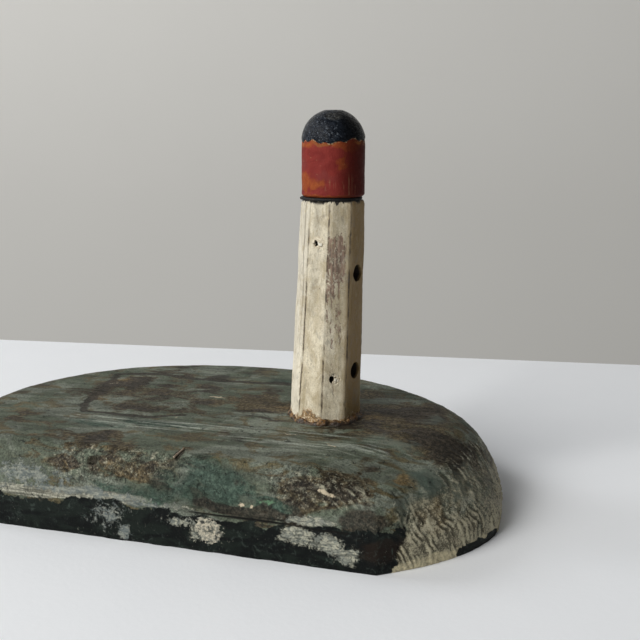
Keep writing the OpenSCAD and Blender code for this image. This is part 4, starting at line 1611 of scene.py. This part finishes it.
def lantern_red(m):
    """Red worn to ochre, with plum stains, scratches and specks, and painted shade on the side away from
    the light.
    """
    red = m.mix(m.step(m.cloud, 0.36, 0.66), LANTERN_RED, DEEP_RED)
    red = m.over(red, m.ragged("plum", m.cloud, 0.8, 0.2, 0.8), 0.5, PLUM)
    ochre = m.mix(m.step(m.fine, 0.3, 0.7), OCHRE, BROWN_OCHRE)
    red = m.over(red, m.ragged("ochre", m.fine, 0.9, 0.16, 0.72), 0.80, ochre)
    red = m.over(red, m.step(m.scratch, 0.64, 0.72), 0.45, LANTERN_DARK_SCRATCH)
    red = m.over(red, m.step(m.noise(0.8, 2, 0.5, 0, 11), 0.70, 0.76), 0.5, LANTERN_PALE_SPECK)
    # Painted shade on the side away from the light
    red = m.over(red, m.field("deep"), 0.86, SHADED_RED)
    cuts = m.times(m.step(m.field("scuffed"), 0.0, 0.5), m.step(m.scratch, 0.575, 0.62))
    return m.over(red, cuts, 0.30, LANTERN_PALE_SCRATCH)


def lantern_dome(m):
    """Blue-black with painted grey glints on its lit side and painted shade on its far side, rubbed on its
    crown.
    """
    dome = m.mix(m.step(m.fine, 0.42, 0.60), DOME_DARK, DOME_GREY)
    # Painted glints, only on the side facing the lights
    lit = m.minus(1.0, m.field("deep"))
    painted_glint = m.times(lit, m.step(m.noise(0.8, 3, 0.6, 0.4, 17), 0.59, 0.66))
    dome = m.over(dome, painted_glint, 0.80, DOME_PAINTED_GLINT)
    # Painted shade on the dome's side away from the light
    dome = m.over(dome, m.field("deep"), 0.75, SHADED_DOME)
    return m.over(dome, m.field("rubbed"), m.step(m.fine, 0.35, 0.6, 0.1, 0.75), RUBBED_DOME)


def lantern_edge(m, colour, edge, top):
    """Flakes off the dome's edge, and the undercoat that shows below it."""
    rim = m.step(m.math("ABSOLUTE", m.plus(edge, 0.10)), 0.34, 0.12)
    flakes = m.times(rim, m.step(m.noise(1.0, 3, 0.6, 0.3, 13), 0.52, 0.58))
    colour = m.over(colour, flakes, 0.9, CHIPPED_WOOD)
    below = m.step(m.math("ABSOLUTE", m.plus(edge, 0.9)), 1.1, 0.3)
    under = m.times(below, m.step(m.cloud, 0.44, 0.56))
    return m.over(colour, m.times(under, m.minus(1.0, top)), 0.6, UNDERCOAT)


def lantern_material():
    """Matt red over ochre on the side, satin blue-black on the dome."""
    m = Paint("lantern_red_and_black")
    m.fine = m.noise(1.3, 4, 0.6, 0.3)
    m.cloud = m.noise((6, 6, 4), 4, 0.6, 0.6, 3)
    m.scratch = m.noise((0.4, 0.4, 9), 3, 0.6, 0.3, 7)
    grit = m.noise(0.45, 2, 0.6, 0, 5)
    edge = m.plus(m.field("above"), m.swing(grit, 0.7))
    top = m.step(edge, -0.05, 0.12)
    colour = lantern_edge(m, m.mix(top, lantern_red(m), lantern_dome(m)), edge, top)
    wood = m.mix(m.step(m.scratch, 0.35, 0.65), (0.42, 0.27, 0.15), (0.28, 0.17, 0.09))
    colour = m.mix(m.field("bare"), colour, wood)
    sheen = m.step(m.fine, 0.40, 0.60, 0.15, 0.36)
    matt = m.step(m.fine, 0.25, 0.75, 0.50, 0.66)
    rough = m.plus(m.times(top, m.minus(sheen, matt)), matt)
    ridge = m.times(m.noise((1.8, 1.8, 1.0), 4, 0.65, 0.5, 15), top)
    normal = m.bumps((m.fine, 0.16), (grit, 0.06), (m.scratch, 0.06), (top, 0.10), (ridge, 0.35))
    return m.finish(colour, rough, normal, Specular_IOR_Level=0.10)


def add_lantern():
    """The red lantern with its black dome, which lifts off the dowel."""
    dress(lantern_mesh(), lantern_material(), "lantern", "lantern_paint", "lantern")


def disc_mesh():
    """A flat ring with a ragged outline and a round bore."""
    centre = (DISC_LOW[:2] + DISC_HIGH[:2]) / 2
    radius = (DISC_HIGH[0] - DISC_LOW[0]) / 2
    low, high = DISC_LOW[2] + 0.04, DISC_HIGH[2] - 0.04
    bore = SOCKET_R + 0.3
    around = 240
    turn = np.arange(around) * 2 * math.pi / around
    circle = np.stack([np.cos(turn), np.sin(turn), 0 * turn], axis=1)
    ragged = 0.28 * fractal(circle * radius, 3.5, 3, 331) - 0.25
    profile = [(bore, low, 0), (radius * 0.6, low, 0), (radius - 0.5, low, 1), (radius, low + 0.25, 1),
               (radius + 0.05, (low + high) / 2, 1), (radius, high - 0.25, 1), (radius - 0.5, high, 1),
               (radius * 0.6, high, 0), (bore, high, 0)]
    rows = []
    for r, z, share in profile:
        bore_centre = HEAD_AXIS if share == 0 else centre
        ring = circle * (r + share * ragged)[:, None] + [0, 0, z]
        ring[:, :2] += bore_centre
        rows.append(ring)
    p = np.concatenate(rows)
    edge = np.abs(p[:, 2] - (low + high) / 2) < 0.5
    p[:, 2] = np.clip(p[:, 2] + 0.10 * noise(p, 1.8, 332) * edge, low, high)
    quads = ring_quads(len(rows), around)
    faces = np.concatenate([quads, closing_wall(quads, len(rows), around)])
    return make_mesh("gallery_disc_ragged", p, faces.tolist())


def disc_material():
    """Black paint with a few pale specks."""
    m = Paint("gallery_black")
    fine = m.noise(0.9, 3, 0.6, 0.3)
    colour = m.mix(m.step(fine, 0.45, 0.68), (0.0030, 0.0030, 0.0034), (0.0110, 0.0100, 0.0090))
    colour = m.mix(m.step(m.noise(0.5, 2, 0.5, 0, 5), 0.68, 0.74), colour, (0.20, 0.13, 0.08))
    rough = m.step(fine, 0.3, 0.7, 0.55, 0.85)
    return m.finish(colour, rough, m.bumps((fine, 0.12)), Specular_IOR_Level=0.3)


def add_disc():
    """The thin black gallery disc, cut ragged with a knife."""
    dress(disc_mesh(), disc_material(), "stand", "disc_black", "gallery_disc")


def dowel_mesh():
    """A chamfered round bar with a faintly fibrous side."""
    low, high = PIN_LOW[2], PIN_HIGH[2]
    radius = (PIN_HIGH[0] - PIN_LOW[0]) / 2
    chamfer = 0.6
    profile = [(0, low), (radius * 0.5, low), (radius - chamfer, low)]
    profile += [(radius, z) for z in np.linspace(low + chamfer, high - chamfer, 70)]
    profile += [(radius - chamfer, high), (radius * 0.5, high), (0, high)]
    piece = lathe("lantern_dowel", profile, 96, HEAD_AXIS)
    p = points_of(piece)
    lift = 0.035 * noise(p, (0.5, 0.5, 9), 341) - 0.04
    lift *= (p[:, 2] > low + 0.1) * (p[:, 2] < high - 0.1)
    set_points(piece, p + normals_of(piece) * lift[:, None])
    return piece


def dowel_material():
    """Plain wood with long grain."""
    m = Paint("dowel_wood")
    grain = m.noise((0.35, 0.35, 9), 4, 0.65, 0.3)
    cloud = m.noise((2, 2, 6), 3, 0.6, 0.4, 3)
    colour = m.mix(m.step(grain, 0.35, 0.66), (0.50, 0.35, 0.20), (0.33, 0.21, 0.11))
    colour = m.over(colour, m.step(cloud, 0.5, 0.75), 0.5, (0.22, 0.14, 0.08))
    rough = m.step(grain, 0.3, 0.7, 0.5, 0.75)
    return m.finish(colour, rough, m.bumps((grain, 0.08)), Specular_IOR_Level=0.35)


def add_dowel():
    """The loose dowel that carries the lantern, with long grain and fine fibres."""
    dress(dowel_mesh(), dowel_material(), "pin", "pin_wood", "lantern_pin")


def screw_material():
    """Dull steel of the foot screw, with rust in its recesses."""
    m = Paint("dull_screw_steel")
    fine = m.noise(0.7, 3, 0.6, 0.2)
    cloud = m.noise(3, 3, 0.6, 0.5, 3)
    colour = m.mix(m.step(cloud, 0.45, 0.65), (0.26, 0.25, 0.235), (0.150, 0.078, 0.038))
    normal = m.bumps((fine, 0.05), (cloud, 0.05))
    return m.finish(colour, m.step(fine, 0.3, 0.7, 0.35, 0.6), normal, Metallic=0.85)


def add_screw():
    """The CAD screw stays; only its material is better."""
    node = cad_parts["foot_screw"]
    material = screw_material()
    for place in node.material_slots:
        place.material = material


# ---------------------------------------------------------------- stage, light and camera

def stage_material(name, light, dark, size):
    """Plain matt surface with a faint unevenness."""
    m = Paint(name)
    cloud = m.noise(size, 3, 0.55)
    normal = m.bumps((m.noise(2.4, 2, 0.5), 0.05))
    return m.finish(m.mix(cloud, light, dark), 0.8, normal, Specular_IOR_Level=0.1)


def add_plane(name, corners, material):
    """A flat stage surface through four corners in metres."""
    mesh = bpy.data.meshes.new(name)
    mesh.from_pydata(corners, [], [(0, 1, 2, 3)])
    mesh.update()
    plane = bpy.data.objects.new(name, mesh)
    bpy.context.scene.collection.objects.link(plane)
    mesh.materials.append(material)


CAMERA_PLACE = Vector((0.1529, -0.3658, 0.1550))
CAMERA_AHEAD = Vector((-0.2823, 0.9379, -0.2016))


def add_stage():
    """A pale table that ends behind the object, and a plain wall beyond it."""
    side = Vector((0.991, 0.125, 0)).normalized()
    back = Vector((-side.y, side.x, 0))
    edge = Vector((0, 0.250, 0))
    half, deep = 1.6, 2.4
    corners = [edge - side * half - back * deep, edge + side * half - back * deep, edge + side * half,
               edge - side * half]
    add_plane("table", corners, stage_material("pale_table", (0.93, 0.95, 0.985), (0.89, 0.915, 0.955), 60))
    wall = Vector((0, 1.5, 0))
    reach, tall = 3.0, 2.6
    corners = [wall - side * reach - Vector((0, 0, 1)), wall + side * reach - Vector((0, 0, 1)),
               wall + side * reach + Vector((0, 0, tall)), wall - side * reach + Vector((0, 0, tall))]
    material = stage_material("plain_wall", (0.70, 0.69, 0.665), (0.66, 0.65, 0.625), 400)
    glow = material.node_tree.nodes["Principled BSDF"]
    glow.inputs["Emission Color"].default_value = (0.97, 0.98, 0.93, 1)
    glow.inputs["Emission Strength"].default_value = 0.06
    add_plane("wall", corners, material)


def add_light(name, azimuth, elevation, distance, size, watts, colour):
    """A square soft light that faces the object."""
    light = bpy.data.lights.new(name, "AREA")
    light.shape = "SQUARE"
    light.size = size
    light.energy = watts
    light.color = colour
    lamp = bpy.data.objects.new(name, light)
    a, e = math.radians(azimuth), math.radians(elevation)
    away = Vector((math.cos(a) * math.cos(e), math.sin(a) * math.cos(e), math.sin(e)))
    lamp.location = Vector((0.02, 0, 0.06)) + away * distance
    lamp.rotation_euler = away.to_track_quat("Z", "Y").to_euler()
    bpy.context.scene.collection.objects.link(lamp)


def add_world(strength, colour):
    """Even light from all round."""
    world = bpy.data.worlds.new("studio")
    bpy.context.scene.world = world
    world.use_nodes = True
    background = world.node_tree.nodes["Background"]
    background.inputs["Color"].default_value = (*colour, 1)
    background.inputs["Strength"].default_value = strength


def add_camera():
    """The camera that the front view is taken with."""
    camera = bpy.data.cameras.new("camera")
    camera.lens = 52
    camera.sensor_width = 36
    camera.clip_start = 0.01
    holder = bpy.data.objects.new("camera", camera)
    holder.location = CAMERA_PLACE
    holder.rotation_euler = (-CAMERA_AHEAD).to_track_quat("Z", "Y").to_euler()
    bpy.context.scene.collection.objects.link(holder)
    bpy.context.scene.camera = holder


def build():
    """Everything in the scene, in the order it is made."""
    bpy.context.scene.view_settings.view_transform = "Standard"
    add_camera()
    add_light("window", -122, 31, 2.6, 1.5, 68, (1.0, 0.985, 0.95))
    add_light("side_window", 178, 34, 2.2, 0.9, 13, (0.97, 0.985, 1.0))
    add_world(0.09, (0.98, 0.99, 1.0))
    add_stage()
    add_island()
    add_tower()
    add_glue()
    broken_wood = peg_material()
    for node in PEGS:
        add_peg(node, broken_wood)
    add_filler()
    add_brad()
    add_disc()
    add_dowel()
    add_lantern()
    add_screw()


build()
